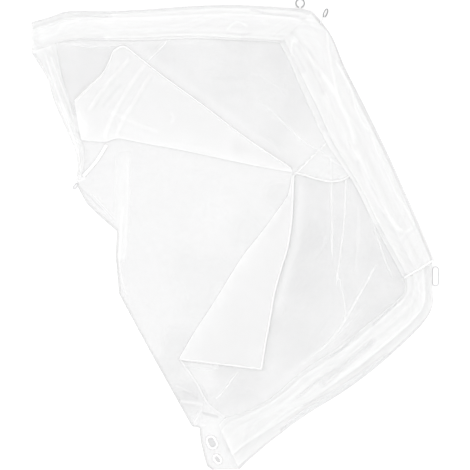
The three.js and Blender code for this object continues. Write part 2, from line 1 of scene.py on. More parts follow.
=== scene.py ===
"""Folding camping mosquito net, laid out flat with its entrance open.

Fine sheets of sheer netting with hems, stitches, tapes, cord loops and rings stand on the
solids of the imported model, in the same frame. Tables are in millimetres, meshes in metres.
"""

import math
from collections import namedtuple

import bpy
import numpy as np
from bpy.props import FloatProperty, FloatVectorProperty, PointerProperty
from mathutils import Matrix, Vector
from mathutils.geometry import delaunay_2d_cdt
from mathutils.kdtree import KDTree


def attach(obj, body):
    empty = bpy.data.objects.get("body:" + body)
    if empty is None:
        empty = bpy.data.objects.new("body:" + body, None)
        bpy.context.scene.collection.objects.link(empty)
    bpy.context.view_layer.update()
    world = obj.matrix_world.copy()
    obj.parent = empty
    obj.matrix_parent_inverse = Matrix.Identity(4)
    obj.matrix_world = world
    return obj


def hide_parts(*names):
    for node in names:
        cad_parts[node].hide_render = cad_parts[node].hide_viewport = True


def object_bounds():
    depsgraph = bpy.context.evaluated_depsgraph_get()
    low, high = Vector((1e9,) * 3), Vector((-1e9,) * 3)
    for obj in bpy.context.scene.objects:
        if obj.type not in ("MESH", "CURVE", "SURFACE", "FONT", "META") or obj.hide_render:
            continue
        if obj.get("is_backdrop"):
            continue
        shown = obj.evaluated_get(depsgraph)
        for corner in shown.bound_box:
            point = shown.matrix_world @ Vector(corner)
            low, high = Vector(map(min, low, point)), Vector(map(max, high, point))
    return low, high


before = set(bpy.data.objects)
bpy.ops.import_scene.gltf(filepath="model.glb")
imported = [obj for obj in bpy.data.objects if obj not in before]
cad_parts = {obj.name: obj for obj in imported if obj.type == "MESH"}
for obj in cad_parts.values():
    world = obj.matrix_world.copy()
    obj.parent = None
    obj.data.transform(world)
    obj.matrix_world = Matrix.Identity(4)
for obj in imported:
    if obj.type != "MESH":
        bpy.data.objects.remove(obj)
CAD_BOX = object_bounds()

bl_info = {
    "name": "Camping mosquito net",
    "version": (1, 0, 0),
    "blender": (4, 5, 0),
    "location": "3D View > Sidebar > Net",
    "description": "Builds a sheer camping net laid out flat with its entrance folded open",
    "category": "Object",
}

MM = 0.001

# Cloth and the way it stacks
CLOTH = 1.2
LAYER_GAP = 0.5
FOLD_SPRING = 2.5
UNDERLAP = 10
BACK_INSET = 3
BOTTOM_BACK_INSET = 8
LOWER_LEVEL = CLOTH + LAYER_GAP
UPPER_LEVEL = LOWER_LEVEL + CLOTH + LAYER_GAP
LOWER_WALL = UPPER_LEVEL
UPPER_WALL = UPPER_LEVEL + CLOTH + LAYER_GAP
NOSE_RADIUS = (FOLD_SPRING + CLOTH) / 2
NOSE_STEPS = 7

# Gathered walls
FOLD_PITCH = 2.5
FOLD_WANDER = 0.02
WANDER_START = 2.1
WANDER_BENDS = 5.3
WANDER_GROWTH = 0.3
PANEL_TURN = 1
RIPPLES = 2.4
RIPPLE_DEPTH = 0.3
RIPPLE_SWAY = 0.35
RIPPLE_BENDS = 6
WALL_STEPS = 200
LAYER_STEPS = 24
TURN_STEPS = 6
RIM_STEPS = 130
CORNER_SHARE = 0.02

# Doors folded back
ROLL_HEIGHT = 9
ROLL_REACH = 45
HEM_LIFT = 6
NARROW_LAPEL = 130
UNEVEN_DEPTH = 0.25
UNEVEN_TURNS = 27.2
LAPEL_STEPS = 150
LAPEL_ACROSS = 48

# Hems, with the seam's place as shares of half their width and half their thickness
WIDEST_HEM = 0.6
HEM_SIDES = 10
HEM_FULLNESS = 0.7
HEM_PITCH = 8
END_STEPS = 45
EDGE_STEPS = 12
SEAM_INSET = 0.5
STITCH_LEVEL = 0.85

# Spacing of the points in the flat panels, and how close they may come as shares of it
PANEL_PITCH = 10
CREASE_PITCH = 6
ROW_SHARE = 0.87
CREASE_CLEARANCE = 0.45
RIM_CLEARANCE = 0.35
SAME_PLACE = 0.2
SNAP = 1e-5
INSIDE_ONLY = 1
CURVE_SAMPLES = 100
FOLD_SAMPLES = 240
FOLD_TAPER = 0.15

# Whiteness and denseness of netting that lies in layers. The whiteness makes the netting's colour
# lighter, partly as painted light, or greyer as painted shade
# Lapels are painted whiter, partly as painted light on their raised fold
UPPER_LAPEL_WHITE = 1.0
LOWER_LAPEL_WHITE = 0.93
LAPEL_DENSE = 0.32
UPPER_FOLD_DENSE = 0.24
LOWER_FOLD_DENSE = 0.27
FOLD_DENSE_REACH = 110
OVERLAP_DENSE = 0.12
WALL_WHITE = 0.95
LEFT_WALL_WHITE = 0.82
# Painted shade: walls are greyer towards their outer rim, across this share of their width
SHADED_RIM_WHITE = 0.3
RIM_REACH = 0.12
INNER_SHEER = 0.05
INNER_START = 0.8
# A whiter line where a wall's layer turns back, partly painted highlight
TURN_WHITE = 0.16
TURN_LINE = 6
# Painted shade: a grey line along a wall's outer free edge
FREE_EDGE_SHADE = 0.5
FREE_LINE = 5
# Creases are painted whiter, partly as painted highlight
CREASE_WHITE = 5.0
CREASE_DENSE = 0.9
BACK_HEM_TONE = {"white": 0.3, "dense": -0.15}
FOOT_HEM_TONE = {"white": 1.0, "dense": 0.3}

# Threads of the netting, and how much they and faint clouds change the light it stops
THREAD_SHARPNESS = 3
THREAD_MEAN = 0.62
THREAD_COVER = 0.05
CLOUD_COVER = 0.05
COVER_LIMITS = (0.02, 0.97)
HEM_COVER = 0.82

# Ribs and yarns of the tape and strands of the cord, in metres
RIB_PITCH = 0.0011
YARN_PITCH = 0.0008
STRAND_PITCH = 0.0024

Wall = namedtuple("Wall", "outer_x outer_y inner_x inner_y puff")
Lapel = namedtuple("Lapel", "fold_x fold_y hem_x hem_y")
Mound = namedtuple("Mound", "x y reach height")
Fold = namedtuple("Fold", "width height white route")
Tone = namedtuple("Tone", "x y reach dense white")
Loop = namedtuple("Loop", "x y z length width turn")
Gather = namedtuple("Gather", "node rows turns level folds white flat area")

TOP_WALL = [
    Wall(-867, 903, -864, 780, 2.5),
    Wall(-794, 924, -765, 813, 3.5),
    Wall(-701, 952, -658, 828, 4.5),
    Wall(-531, 952, -510, 826, 4),
    Wall(-361, 960, -361, 826, 5),
    Wall(-191, 972, -191, 833, 4.2),
    Wall(-21, 977, -29, 828, 5.5),
    Wall(149, 969, 115, 822, 5),
    Wall(277, 960, 166, 818, 4),
    Wall(332, 947, 192, 813, 3),
]
RIGHT_WALL = [
    Wall(333, 946, 193, 812, 3),
    Wall(374, 898, 212, 775, 4),
    Wall(417, 838, 236, 729, 5),
    Wall(468, 716, 277, 631, 6),
    Wall(532, 588, 328, 520, 5),
    Wall(595, 456, 383, 401, 6.5),
    Wall(659, 316, 447, 303, 6),
    Wall(723, 167, 515, 201, 5),
    Wall(787, 23, 595, 40, 5.5),
    Wall(842, -108, 717, -184, 3.5),
]
BOTTOM_WALL = [
    Wall(842.2, -108.4, 717.2, -184.4, 3.5),
    Wall(845, -211, 723, -234, 4),
    Wall(845, -309, 702, -268, 5),
    Wall(800, -388, 646, -317, 5.5),
    Wall(697, -491, 540, -402, 4.5),
    Wall(584, -588, 425, -491, 5.5),
    Wall(470, -671, 289, -581, 5),
    Wall(317, -766, 149, -700, 4.5),
    Wall(172, -870, 34, -759, 5),
    Wall(63, -963, -38, -783, 4),
    Wall(22, -1004, -68, -812, 2.5),
]
LEFT_WALL = [
    Wall(-867, 771, -762, 806, 2.5),
    Wall(-833, 716, -748, 733, 3),
    Wall(-799, 660, -731, 656, 3.5),
    Wall(-773, 571, -705, 571, 3),
    Wall(-739, 490, -684, 490, 3.5),
    Wall(-709, 422, -663, 418, 3),
    Wall(-682, 359, -641, 363, 2.5),
    Wall(-671, 291, -641, 299, 2),
    Wall(-677, 231, -654, 235, 1.5),
]

# Where each layer of a wall turns back, as a share of the way from outside rim to panel rim
TOP_TURNS = [0.01, 1, 0.14, 0.93, 0.3, 0.82]
RIGHT_TURNS = [0, 1, 0.2, 0.88, 0.08, 0.62]
BOTTOM_TURNS = [0.05, 1, 0.1, 0.9, 0.34, 0.74]
LEFT_TURNS = [-0.05, 1, 0.12, 0.86]

LEFT_EDGE = [
    (-667, 201), (-631, 133), (-562, 66), (-501, 14), (-507, -88), (-492, -253), (-361, -496),
    (-233, -725), (-182, -816), (-150, -822), (-146, -872), (-131, -940), (-118, -985), (-94, -1002),
]

UPPER_LAPEL = [
    Lapel(-652, 402, -682, 567),
    Lapel(-607, 397, -616, 631),
    Lapel(-548, 395, -561, 686),
    Lapel(-505, 408, -531, 741),
    Lapel(-463, 404, -514, 782),
    Lapel(-412, 393, -471, 799),
    Lapel(-352, 382, -416, 762),
    Lapel(-233, 360, -301, 671),
    Lapel(-85, 329, -133, 549),
    Lapel(64, 297, 54, 407),
    Lapel(243, 265, 239, 284),
]
UPPER_SCALLOP = [(490, 246), (455, 227), (404, 221), (349, 231), (298, 247), (251, 257)]

LOWER_LAPEL = [
    Lapel(243, 250, 253, 252),
    Lapel(226, 167, 249, 158),
    Lapel(180, 97, 243, 53),
    Lapel(109, 1, 226, -58),
    Lapel(36, -91, 200, -143),
    Lapel(-29, -194, 171, -248),
    Lapel(-97, -304, 153, -355),
    Lapel(-169, -413, 132, -470),
    Lapel(-238, -532, 115, -576),
]

# Where along each wall a door lies under it, as shares of the wall's length
UPPER_UNDER_TOP = (0.12, 1)
UPPER_UNDER_RIGHT = (CORNER_SHARE, 0.71)
UPPER_UNDER_LEFT = (0.62, CORNER_SHARE)
LOWER_UNDER_RIGHT = (0.56, 1)
LOWER_UNDER_BOTTOM = (0.03, 0.9)

LOWER_TOP_HEM = [(245, 250), (319, 325), (390, 394)]
LOWER_BOTTOM_HEM = [(-42, -780), (-117, -720), (-170, -627), (-238, -532)]

# Mounds of slack in the flat panels
SLACK = [
    Mound(-60, 650, 150, 5),
    Mound(-560, 640, 110, 4),
    Mound(-672, 470, 60, 6),
    Mound(-250, 60, 230, 7),
    Mound(-330, -330, 130, 5),
    Mound(340, -60, 110, 5),
    Mound(250, -420, 110, 6),
    Mound(560, -150, 85, 4),
]

# Soft folds and pale bands of each sheet. A fold's whiteness is partly painted highlight, a flat pale
# band is painted light over a place in shade, and grooves have a whiteness below nought, which is
# painted shade
BACK_FOLDS = [
    Fold(84, 1, 0.055, [(-480, 359), (-478, 274), (-482, 146), (-486, 27), (-490, -66), (-492, -117)]),
    Fold(24, 1.5, 0.06, [(-452, 359), (-454, 274), (-457, 146), (-461, 27), (-467, -66), (-480, -117)]),
    Fold(14, 1.4, 0.1, [(-473, 125), (-482, 53), (-486, -24), (-490, -117), (-480, -194), (-454, -270)]),
    Fold(12, 1.2, 0.08, [(-607, 172), (-556, 116), (-505, 61)]),
    Fold(20, 1.6, 0.07, [(-250, -644), (-208, -661), (-157, -695)]),
    Fold(24, 1.6, 0.12, [(-235, -706), (-208, -712), (-172, -716), (-130, -728)]),
    Fold(16, 0, -0.05, [(-222, -668), (-185, -678), (-150, -704)]),
    Fold(12, 2, 0.13, [(-178, -814), (-157, -772), (-136, -738)]),
    Fold(10, 2, 0.13, [(-178, -816), (-153, -814), (-123, -810)]),
    Fold(16, 0, -0.12, [(-140, -758), (-110, -766), (-68, -778)]),
    Fold(14, 0, -0.05, [(-663, 201), (-616, 159), (-556, 99)]),
    Fold(40, 0, -0.13, [(-113, -858), (-100, -882), (-86, -908)]),
    Fold(28, 0, -0.12, [(-80, -944), (-70, -958), (-62, -972)]),
    Fold(40, 0, 0.12, [(-866, 776), (-815, 793), (-762, 810)]),
    Fold(20, 2, 0.2, [(-671, 227), (-654, 233), (-633, 240)]),
]
LOWER_FOLDS = [
    Fold(18, 2.4, 0.28, [(408, 359), (410, 223), (411, 125), (413, 19), (413, -117)]),
    Fold(16, 2.4, 0.28,
         [(476, 316), (472, 227), (468, 125), (462, 31),
          (449, -71), (436, -164), (430, -236)]),
    Fold(10, 1.6, 0.2, [(489, 227), (490, 180), (489, 133)]),
    Fold(16, 1.6, 0.22, [(434, -160), (451, -215), (464, -292), (468, -372)]),
    Fold(24, 1.2, 0.14, [(527, 146), (525, 19), (521, -71), (510, -173)]),
    Fold(18, 2.4, 0.25, [(523, 206), (570, 95), (600, 6), (638, -109), (685, -211)]),
    Fold(24, 0, -0.05, [(583, 104), (621, 19), (655, -49), (689, -147), (710, -241)]),
    Fold(14, 1.2, 0.16, [(396, -3), (364, -66), (338, -117)]),
    Fold(12, 1.2, 0.12, [(306, -168), (285, -190), (266, -211)]),
    Fold(22, 3, 0.3,
         [(608, -117), (574, -177), (534, -249), (493, -321),
          (447, -398), (370, -483), (277, -559)]),
    Fold(14, 1.6, 0.2, [(583, -279), (510, -355), (447, -423), (353, -500)]),
    Fold(16, 2.2, 0.22, [(22, -576), (-4, -606), (-29, -640), (-55, -674), (-89, -704)]),
    Fold(22, 1.4, 0.1, [(328, -279), (277, -326), (221, -372), (162, -432)]),
    Fold(60, 0, 0.2,
         [(275, 262), (277, 155), (270, 53), (252, -58), (226, -143), (200, -249), (178, -355)]),
    Fold(50, 0.5, 0.25, [(-275, -522), (-225, -543), (-180, -549), (-120, -556), (-60, -562)]),
    Fold(90, 0, 0.17,
         [(-100, -795), (-47, -771), (25, -747), (140, -688), (280, -569), (416, -479), (460, -445)]),
]
UPPER_FOLDS = [
    Fold(16, 2, 0.22, [(-735, 813), (-692, 807), (-616, 796), (-552, 801), (-467, 809), (-395, 813)]),
    Fold(14, 0, -0.06, [(-743, 824), (-637, 822), (-531, 822), (-403, 826)]),
    Fold(18, 1.8, 0.22, [(-276, 835), (-318, 788), (-361, 745), (-403, 690)]),
    Fold(20, 2, 0.18,
         [(64, 604), (149, 529), (190, 487), (238, 444), (297, 391),
          (341, 366), (403, 323), (440, 296), (489, 270)]),
    Fold(30, 0, 0.16, [(205, 272), (240, 276), (268, 266), (300, 253), (345, 238), (380, 226)]),
    Fold(18, 0, 0.2, [(254, 290), (251, 262), (249, 236), (248, 205)]),
    Fold(14, 0, 0.14, [(252, 288), (290, 322), (341, 367), (379, 401), (420, 481), (440, 520)]),
    Fold(12, 1.8, 0.18, [(13, 677), (85, 682), (141, 652), (192, 614), (213, 592)]),
    Fold(22, 0, -0.05, [(-106, 660), (-29, 665), (56, 660)]),
    Fold(22, 0, -0.05, [(-80, 601), (-12, 607), (51, 605)]),
    Fold(10, 1.2, 0.14, [(196, 677), (209, 614), (213, 550)]),
    Fold(10, 1.2, 0.14, [(230, 733), (226, 639), (226, 580)]),
    Fold(8, 1.6, 0.2, [(124, 813), (149, 792)]),
    Fold(8, 1.6, 0.2, [(145, 813), (170, 788)]),
    Fold(30, 0, 0.05, [(-131, 813), (-21, 762), (85, 716), (170, 648)]),
    Fold(30, 0.5, 0.2, [(440, 236), (470, 248), (495, 262), (515, 280)]),
    Fold(70, 0, 0.2,
         [(-500, 840), (-450, 812), (-395, 772), (-288, 692), (-118, 568), (66, 425), (230, 308)]),
    Fold(90, 0, 0.06,
         [(228, 775), (270, 665), (317, 563), (364, 469), (395, 430), (415, 390)]),
    Fold(64, 0, 0.19,
         [(-810, 801), (-745, 812), (-637, 820), (-510, 820), (-361, 820), (-191, 826), (-40, 822)]),
]
UPPER_LAPEL_FOLDS = [
    Fold(30, 1.8, 0.11, [(-442, 754), (-488, 699), (-544, 635), (-582, 584), (-624, 520)]),
    Fold(30, 1.8, 0.12,
         [(-352, 754), (-408, 686), (-446, 631), (-480, 575), (-514, 516), (-545, 440), (-556, 404)]),
    Fold(28, 1.8, 0.11, [(-352, 686), (-374, 652), (-403, 605), (-433, 554), (-471, 495), (-505, 410)]),
    Fold(30, 1.4, 0.07, [(-539, 524), (-488, 503), (-442, 482), (-382, 456), (-318, 431)]),
    Fold(12, 1.4, 0.06, [(-658, 550), (-658, 520), (-646, 490), (-624, 461)]),
    Fold(18, 1, 0.05, [(-276, 520), (-259, 495), (-272, 469)]),
    Fold(28, 0, -0.05, [(-480, 639), (-522, 592), (-565, 537)]),
    Fold(110, 0, -0.05, [(-20, 372), (64, 352), (150, 318), (225, 285), (290, 255)]),
]
LOWER_LAPEL_FOLDS = [
    Fold(110, 0, -0.05, [(252, 300), (242, 200), (225, 130), (190, 60), (140, -20)]),
]
TOP_WALL_FOLDS = [
    Fold(110, 0, -0.12, [(-880, 880), (-868, 840), (-860, 800), (-850, 760)]),
    Fold(16, 1.8, 0.07, [(-748, 886), (-680, 903), (-596, 924), (-488, 937), (-352, 947)]),
    Fold(40, 0, 0.11, [(-560, 832), (-510, 832), (-361, 832), (-191, 839), (-29, 834), (30, 832)]),
    Fold(56, 0, -0.22, [(-866, 880), (-800, 896), (-743, 915), (-684, 924), (-607, 928), (-520, 934)]),
    Fold(16, 0.8, 0.04, [(-38, 860), (-8, 890), (22, 896), (56, 877)]),
    Fold(16, 0, -0.1, [(64, 954), (115, 941), (170, 930), (277, 924)]),
    Fold(16, 0, -0.04, [(-38, 852), (22, 847), (73, 852)]),
]
RIGHT_WALL_FOLDS = [
    Fold(30, 2.2, 0.08,
         [(234, 843), (277, 801), (336, 724), (385, 656),
          (438, 571), (493, 444), (508, 371)]),
    Fold(30, 2.2, 0.08,
         [(508, 371), (540, 278), (570, 197), (600, 146), (642, 87), (689, 27), (714, 16)]),
    Fold(18, 1.8, 0.08, [(391, 886), (396, 792), (413, 694), (425, 631), (442, 554)]),
    Fold(16, 1.8, 0.08, [(421, 741), (459, 682), (493, 614), (510, 541), (540, 478), (570, 431)]),
    Fold(18, 1.8, 0.09, [(570, 431), (617, 325), (651, 252), (689, 167), (723, 112), (761, 36)]),
    Fold(14, 1.4, 0.08, [(247, 826), (238, 792), (241, 758)]),
    Fold(14, 0.8, 0.03, [(685, 31), (719, 14), (757, 27)]),
    Fold(60, 0, -0.07, [(200, 830), (234, 784), (260, 740), (290, 680)]),
    Fold(46, 0, -0.06, [(260, 818), (319, 758), (370, 665)]),
    Fold(30, 0, -0.06, [(438, 741), (498, 622), (557, 495)]),
    Fold(24, 0, 0.17,
         [(450, 755), (480, 690), (530, 584), (593, 452), (656, 313), (718, 166), (780, 28)]),
    Fold(40, 0, 0.13, [(375, 440), (395, 400), (450, 305), (518, 203), (585, 80), (605, 40)]),
    Fold(36, 0, 0.1, [(375, 600), (399, 544), (430, 480), (457, 420), (490, 360), (521, 308)]),
]
BOTTOM_WALL_FOLDS = [
    Fold(30, 1.8, 0.15, [(-55, -776), (43, -721), (115, -678), (213, -602), (277, -542), (353, -474)]),
    Fold(22, 1.6, 0.03,
         [(115, -789), (234, -695), (319, -619), (447, -525),
          (540, -432), (638, -330), (719, -262)]),
    Fold(22, 1.6, 0.03,
         [(64, -874), (192, -768), (277, -712), (404, -636),
          (532, -542), (680, -428), (787, -321)]),
    Fold(18, -1, -0.12, [(277, -585), (328, -538), (370, -496)]),
    Fold(14, -1.2, -0.18, [(396, -523), (468, -474), (523, -411)]),
    Fold(18, -1, -0.12, [(260, -695), (343, -626), (430, -568)]),
    Fold(16, -1, -0.1, [(277, -729), (362, -694), (455, -653)]),
    Fold(16, 0, -0.15, [(583, -389), (642, -330), (693, -287)]),
    Fold(52, 0, -0.16, [(216, -810), (316, -747), (420, -684), (518, -614), (594, -560), (662, -506)]),
    Fold(50, 0, -0.12, [(358, -637), (390, -614), (475, -542), (540, -490), (600, -440)]),
    Fold(24, 0, -0.5, [(195, -832), (245, -800), (303, -764), (340, -741), (400, -702)]),
]
LEFT_WALL_FOLDS = [
    Fold(18, 1.4, 0.11,
         [(-807, 775), (-777, 677), (-743, 580), (-709, 486),
          (-692, 422), (-671, 359), (-658, 261)]),
    Fold(44, 0, -0.5,
         [(-872, 790), (-842, 732), (-806, 655), (-781, 585), (-752, 510),
          (-724, 445), (-698, 385), (-682, 330), (-674, 285), (-678, 245)]),
    Fold(150, 0, 0.02, [(-850, 830), (-812, 770), (-790, 700), (-770, 640)]),
    Fold(70, 0, 0.09, [(-750, 570), (-730, 500), (-700, 440), (-680, 390), (-670, 340)]),
    Fold(28, 0, -0.3, [(-806, 655), (-788, 612), (-770, 565), (-756, 528), (-742, 490)]),
    Fold(12, 1.1, 0.08, [(-782, 758), (-752, 677), (-718, 588), (-684, 495)]),
]

# The four walls, each with the size in metres and the area in square metres of its flat cloth
WALLS = [
    Gather("top_wall", TOP_WALL, TOP_TURNS, UPPER_WALL, TOP_WALL_FOLDS, WALL_WHITE, (0.5, 1.22), 0.56),
    Gather("right_wall", RIGHT_WALL, RIGHT_TURNS, UPPER_WALL, RIGHT_WALL_FOLDS, WALL_WHITE,
           (0.72, 1.2), 0.82),
    Gather("bottom_wall", BOTTOM_WALL, BOTTOM_TURNS, LOWER_WALL, BOTTOM_WALL_FOLDS, WALL_WHITE,
           (0.6, 1.25), 0.68),
    Gather("left_wall", LEFT_WALL, LEFT_TURNS, UPPER_WALL, LEFT_WALL_FOLDS, LEFT_WALL_WHITE,
           (0.2, 0.62), 0.1),
]

# Broad patches where the netting lies denser, or thinner where the number is below nought. Their
# whiteness is painted light, or painted shade where it is below nought
BACK_TONES = [
    Tone(-110, 80, 130, -0.02, 0),
    Tone(-210, -140, 150, 0.05, 0),
    Tone(-60, -160, 130, 0.05, 0),
    Tone(-150, -300, 130, 0.05, 0),
    Tone(-235, -470, 120, 0.08, 0),
    Tone(-290, -580, 110, 0.06, 0),
    Tone(60, 20, 130, 0.05, 0),
    Tone(190, 160, 110, 0.06, 0),
    Tone(-200, -690, 95, 0.14, -0.12),
    Tone(-252, -606, 75, 0, -0.1),
    Tone(-148, -750, 55, 0, -0.17),
    Tone(-100, -810, 80, 0.02, 0.24),
    Tone(-85, -890, 100, 0.02, 0.24),
    Tone(-60, -970, 75, 0.02, 0.24),
]
LOWER_TONES = [
    Tone(540, 40, 170, 0.02, 0.3),
    Tone(460, 160, 110, 0, 0.4),
    Tone(330, -40, 120, 0.06, 0),
    Tone(300, -200, 130, 0.05, 0),
    Tone(520, -180, 130, 0, 0.3),
    Tone(440, -370, 150, 0, 0.5),
    Tone(160, -560, 160, 0, 0.55),
    Tone(-60, -670, 110, 0.02, 0.6),
    Tone(-140, -600, 110, 0.12, 1.1),
]
UPPER_TONES = [
    Tone(-150, 760, 190, -0.02, 0.35),
    Tone(60, 520, 200, 0, 0.45),
    Tone(320, 370, 190, 0.05, 1),
    Tone(330, 560, 120, 0.02, 0.15),
    Tone(178, 742, 65, 0.03, -0.5),
    Tone(-678, 460, 90, 0.4, 2),
    Tone(-695, 575, 55, 0, 0.5),
]

# Rings, loops and tapes
RING_RADIUS = 18
RING_WIRE = 2
RING_PLAY = 0.1
RING_STEPS = 96
WELD_SWELL = 0.04
WELD_ANGLE = 2.1
WELD_SPAN = 0.05
RING_LEAN = math.radians(68)
FLAT_RING = {"x": 277, "y": 982, "z": 3.65, "leg": 18, "droop": math.radians(1)}
LEANING_RING = {"x": 384, "y": 938, "heading": math.radians(63.5), "leg": 28.8}
TAPE = 1
TAPE_SLACK = 0.3
TAPE_WIDTH = 14
TAPE_LEVEL = CLOTH + LAYER_GAP + TAPE / 2
TAB_WIDTH = 8
EYE_SLACK = 0.7
EYE_STEPS = 28
LEG_STEPS = 8
CORD_RADIUS = 1.5
STAY_TAPE = [(-545, 380), (-590, 309), (-646, 246)]
STAY_PITCH = 3
CORD_LOOPS = {
    "loop_right": Loop(852.2, -178, 1.6, 84, 28.8, 90),
    "loop_left": Loop(-677, 205, 3.2, 30, 14, 52),
}
TAPE_LOOPS = {
    "loop_bottom_upper": Loop(-98, -884, TAPE_LEVEL, 62, 46, -62),
    "loop_bottom_lower": Loop(-74, -955, TAPE_LEVEL, 48, 34, -50),
}
TAPE_LOOP_BAND = 10
BINDING_WIDTH = 8
BINDING_STEPS = 70
BINDING_EASE = 6

# Camera straight above the net, soft light and floor, in metres
CAMERA_HEIGHT = 6.0
CAMERA_CENTRE = (0.0004, -0.0026)
VIEW_WIDTH = 1.9975
SENSOR = 36.0
LAMP_PLACE = (-2.0, 2.0, 7.0)
LAMP_SIZE = 6.0
LAMP_POWER = 90
SKY_STRENGTH = 1.14
FLOOR_HALF = 14.0
FLOOR_DROP = 0.3 * MM

# Lines on the hems that the sewing follows, filled while the hems are made
sewing_lines = []


def length_property(label, text, millimetres):
    return FloatProperty(name=label, description=text, default=millimetres * MM, unit="LENGTH")


def factor_property(label, text, share):
    return FloatProperty(name=label, description=text, default=share, subtype="FACTOR")


def colour_property(label, text, *channels):
    return FloatVectorProperty(name=label, description=text, default=channels, subtype="COLOR")


class NetSizes(bpy.types.PropertyGroup):
    """Sizes of the net's trimmings"""

    hem_width: length_property("Hem width", "Width of a sewn hem", 8)
    hem_thickness: length_property("Hem thickness", "Thickness of a sewn hem", 1.8)
    mesh_hole: length_property("Mesh hole", "Distance between threads of the netting", 1.6)
    stitch_pitch: length_property("Stitch pitch", "Distance from stitch to stitch", 4)
    stitch_length: length_property("Stitch length", "Length of one stitch", 3)
    stitch_width: length_property("Stitch width", "Thickness of the sewing thread", 0.7)


class NetFinishes(bpy.types.PropertyGroup):
    """Colours of the net, and how much of the light its netting stops"""

    # Single netting is given a grey that partly paints the shade it lies in; the doubled colour is the
    # netting's own white
    netting: colour_property("Netting", "Single netting, seen with its holes", 0.66, 0.66, 0.665)
    doubled: colour_property("Doubled netting", "White of netting in many layers", 0.95, 0.95, 0.95)
    # Painted shade for netting deep in a fold
    groove_shade: colour_property("Groove", "Netting deep in a fold", 0.45, 0.45, 0.46)
    hem: colour_property("Hem", "White of the sewn hems", 0.9, 0.9, 0.9)
    back_cover: factor_property("Back cover", "Light stopped by the back panel", 0.33)
    door_cover: factor_property("Door cover", "Light stopped by a door panel", 0.115)
    wall_cover: factor_property("Wall cover", "Light stopped by a wall's layer", 0.34)
    wall_streaks: factor_property("Wall streaks", "Unevenness of gathered netting", 0.07)
    tape: colour_property("Tape", "White of the woven tape", 0.9, 0.9, 0.9)
    cord: colour_property("Cord", "Pale grey of the braided cord", 0.56, 0.56, 0.57)
    ring: colour_property("Ring", "Grey of the plated steel", 0.28, 0.285, 0.29)
    floor: colour_property("Floor", "Pale floor", 0.92, 0.92, 0.92)


# Nodes and finishes


def add_node(tree, kind, settings=None, sockets=None):
    """Adds a node, sets its settings first and then fills or links its sockets."""
    node = tree.nodes.new(kind)
    for key, value in (settings or {}).items():
        setattr(node, key, value)
    for key, value in (sockets or {}).items():
        source = getattr(value, "socket", value)
        if isinstance(source, bpy.types.NodeSocket):
            tree.links.new(source, node.inputs[key])
        else:
            node.inputs[key].default_value = source
    return node


class Value:
    """A number in a shader. Its maths adds Math nodes."""

    def __init__(self, finish, socket):
        self.finish = finish
        self.socket = socket

    def maths(self, operation, *operands):
        node = self.finish.node("ShaderNodeMath", {"operation": operation}, dict(enumerate(operands)))
        return Value(self.finish, node.outputs[0])

    def __add__(self, other):
        return self.maths("ADD", self, other)

    __radd__ = __add__

    def __sub__(self, other):
        return self.maths("SUBTRACT", self, other)

    def __rsub__(self, other):
        return self.maths("SUBTRACT", other, self)

    def __mul__(self, other):
        return self.maths("MULTIPLY", self, other)

    def __pow__(self, other):
        return self.maths("POWER", self, other)

    def __abs__(self):
        return self.maths("ABSOLUTE", self)

    def sine(self):
        return self.maths("SINE", self)

    def at_least(self, other):
        return self.maths("MAXIMUM", self, other)

    def at_most(self, other):
        return self.maths("MINIMUM", self, other)

    def between(self, low, high):
        return self.at_least(low).at_most(high)


class Finish:
    """A procedural material on one principled shader."""

    def __init__(self, name, **constants):
        self.material = bpy.data.materials.new(name)
        self.material.use_nodes = True
        self.tree = self.material.node_tree
        self.shader = self.tree.nodes["Principled BSDF"]
        for socket, value in constants.items():
            self.shader.inputs[socket.replace("_", " ")].default_value = value

    def node(self, kind, settings=None, sockets=None):
        return add_node(self.tree, kind, settings, sockets)

    def number(self, name):
        """A number stored on the piece's points."""
        return Value(self, self.node("ShaderNodeAttribute", {"attribute_name": name}).outputs["Fac"])

    def cloth_place(self):
        """Where a point lies in the flat cloth, in metres."""
        return self.node("ShaderNodeAttribute", {"attribute_name": "cloth"}).outputs["Vector"]

    def object_place(self):
        return self.node("ShaderNodeTexCoord").outputs["Object"]

    def across_and_along(self):
        """The two directions of the flat cloth."""
        split = self.node("ShaderNodeSeparateXYZ", sockets={0: self.cloth_place()})
        return [Value(self, output) for output in split.outputs[:2]]

    def lines(self, place, pitch):
        """Even lines across a direction: 1 on a line, 0 half way to the next."""
        return abs((place * (math.pi / pitch)).sine())

    def crossing(self, pitch):
        """Two sets of slanting lines that cross, as in netting or a braid."""
        across, along = self.across_and_along()
        return self.lines(across + along, pitch).at_least(self.lines(across - along, pitch))

    def noise(self, vector, stretch, detail=2.0):
        """Soft random number from 0 to 1, with its own scale along each direction."""
        placed = self.node("ShaderNodeMapping", sockets={"Vector": vector, "Scale": stretch})
        sockets = {"Vector": placed.outputs[0], "Scale": 1.0, "Detail": detail}
        return Value(self, self.node("ShaderNodeTexNoise", sockets=sockets).outputs["Fac"])

    def blend(self, share, first, second):
        sockets = {0: share, 6: first, 7: second}
        return self.node("ShaderNodeMix", {"data_type": "RGBA"}, sockets).outputs[2]

    def paint(self, share, first, second):
        """Colours the piece with a blend of two colours."""
        self.feed("Base Color", self.blend(share, first, second))

    def emboss(self, height, distance, strength):
        """Gives the piece a fine relief."""
        sockets = {"Height": height, "Distance": distance, "Strength": strength}
        self.feed("Normal", self.node("ShaderNodeBump", sockets=sockets).outputs[0])

    def feed(self, socket, source):
        self.tree.links.new(getattr(source, "socket", source), self.shader.inputs[socket])


def rgba(channels, gain=1.0):
    return (*(min(channel * gain, 1.0) for channel in channels), 1.0)


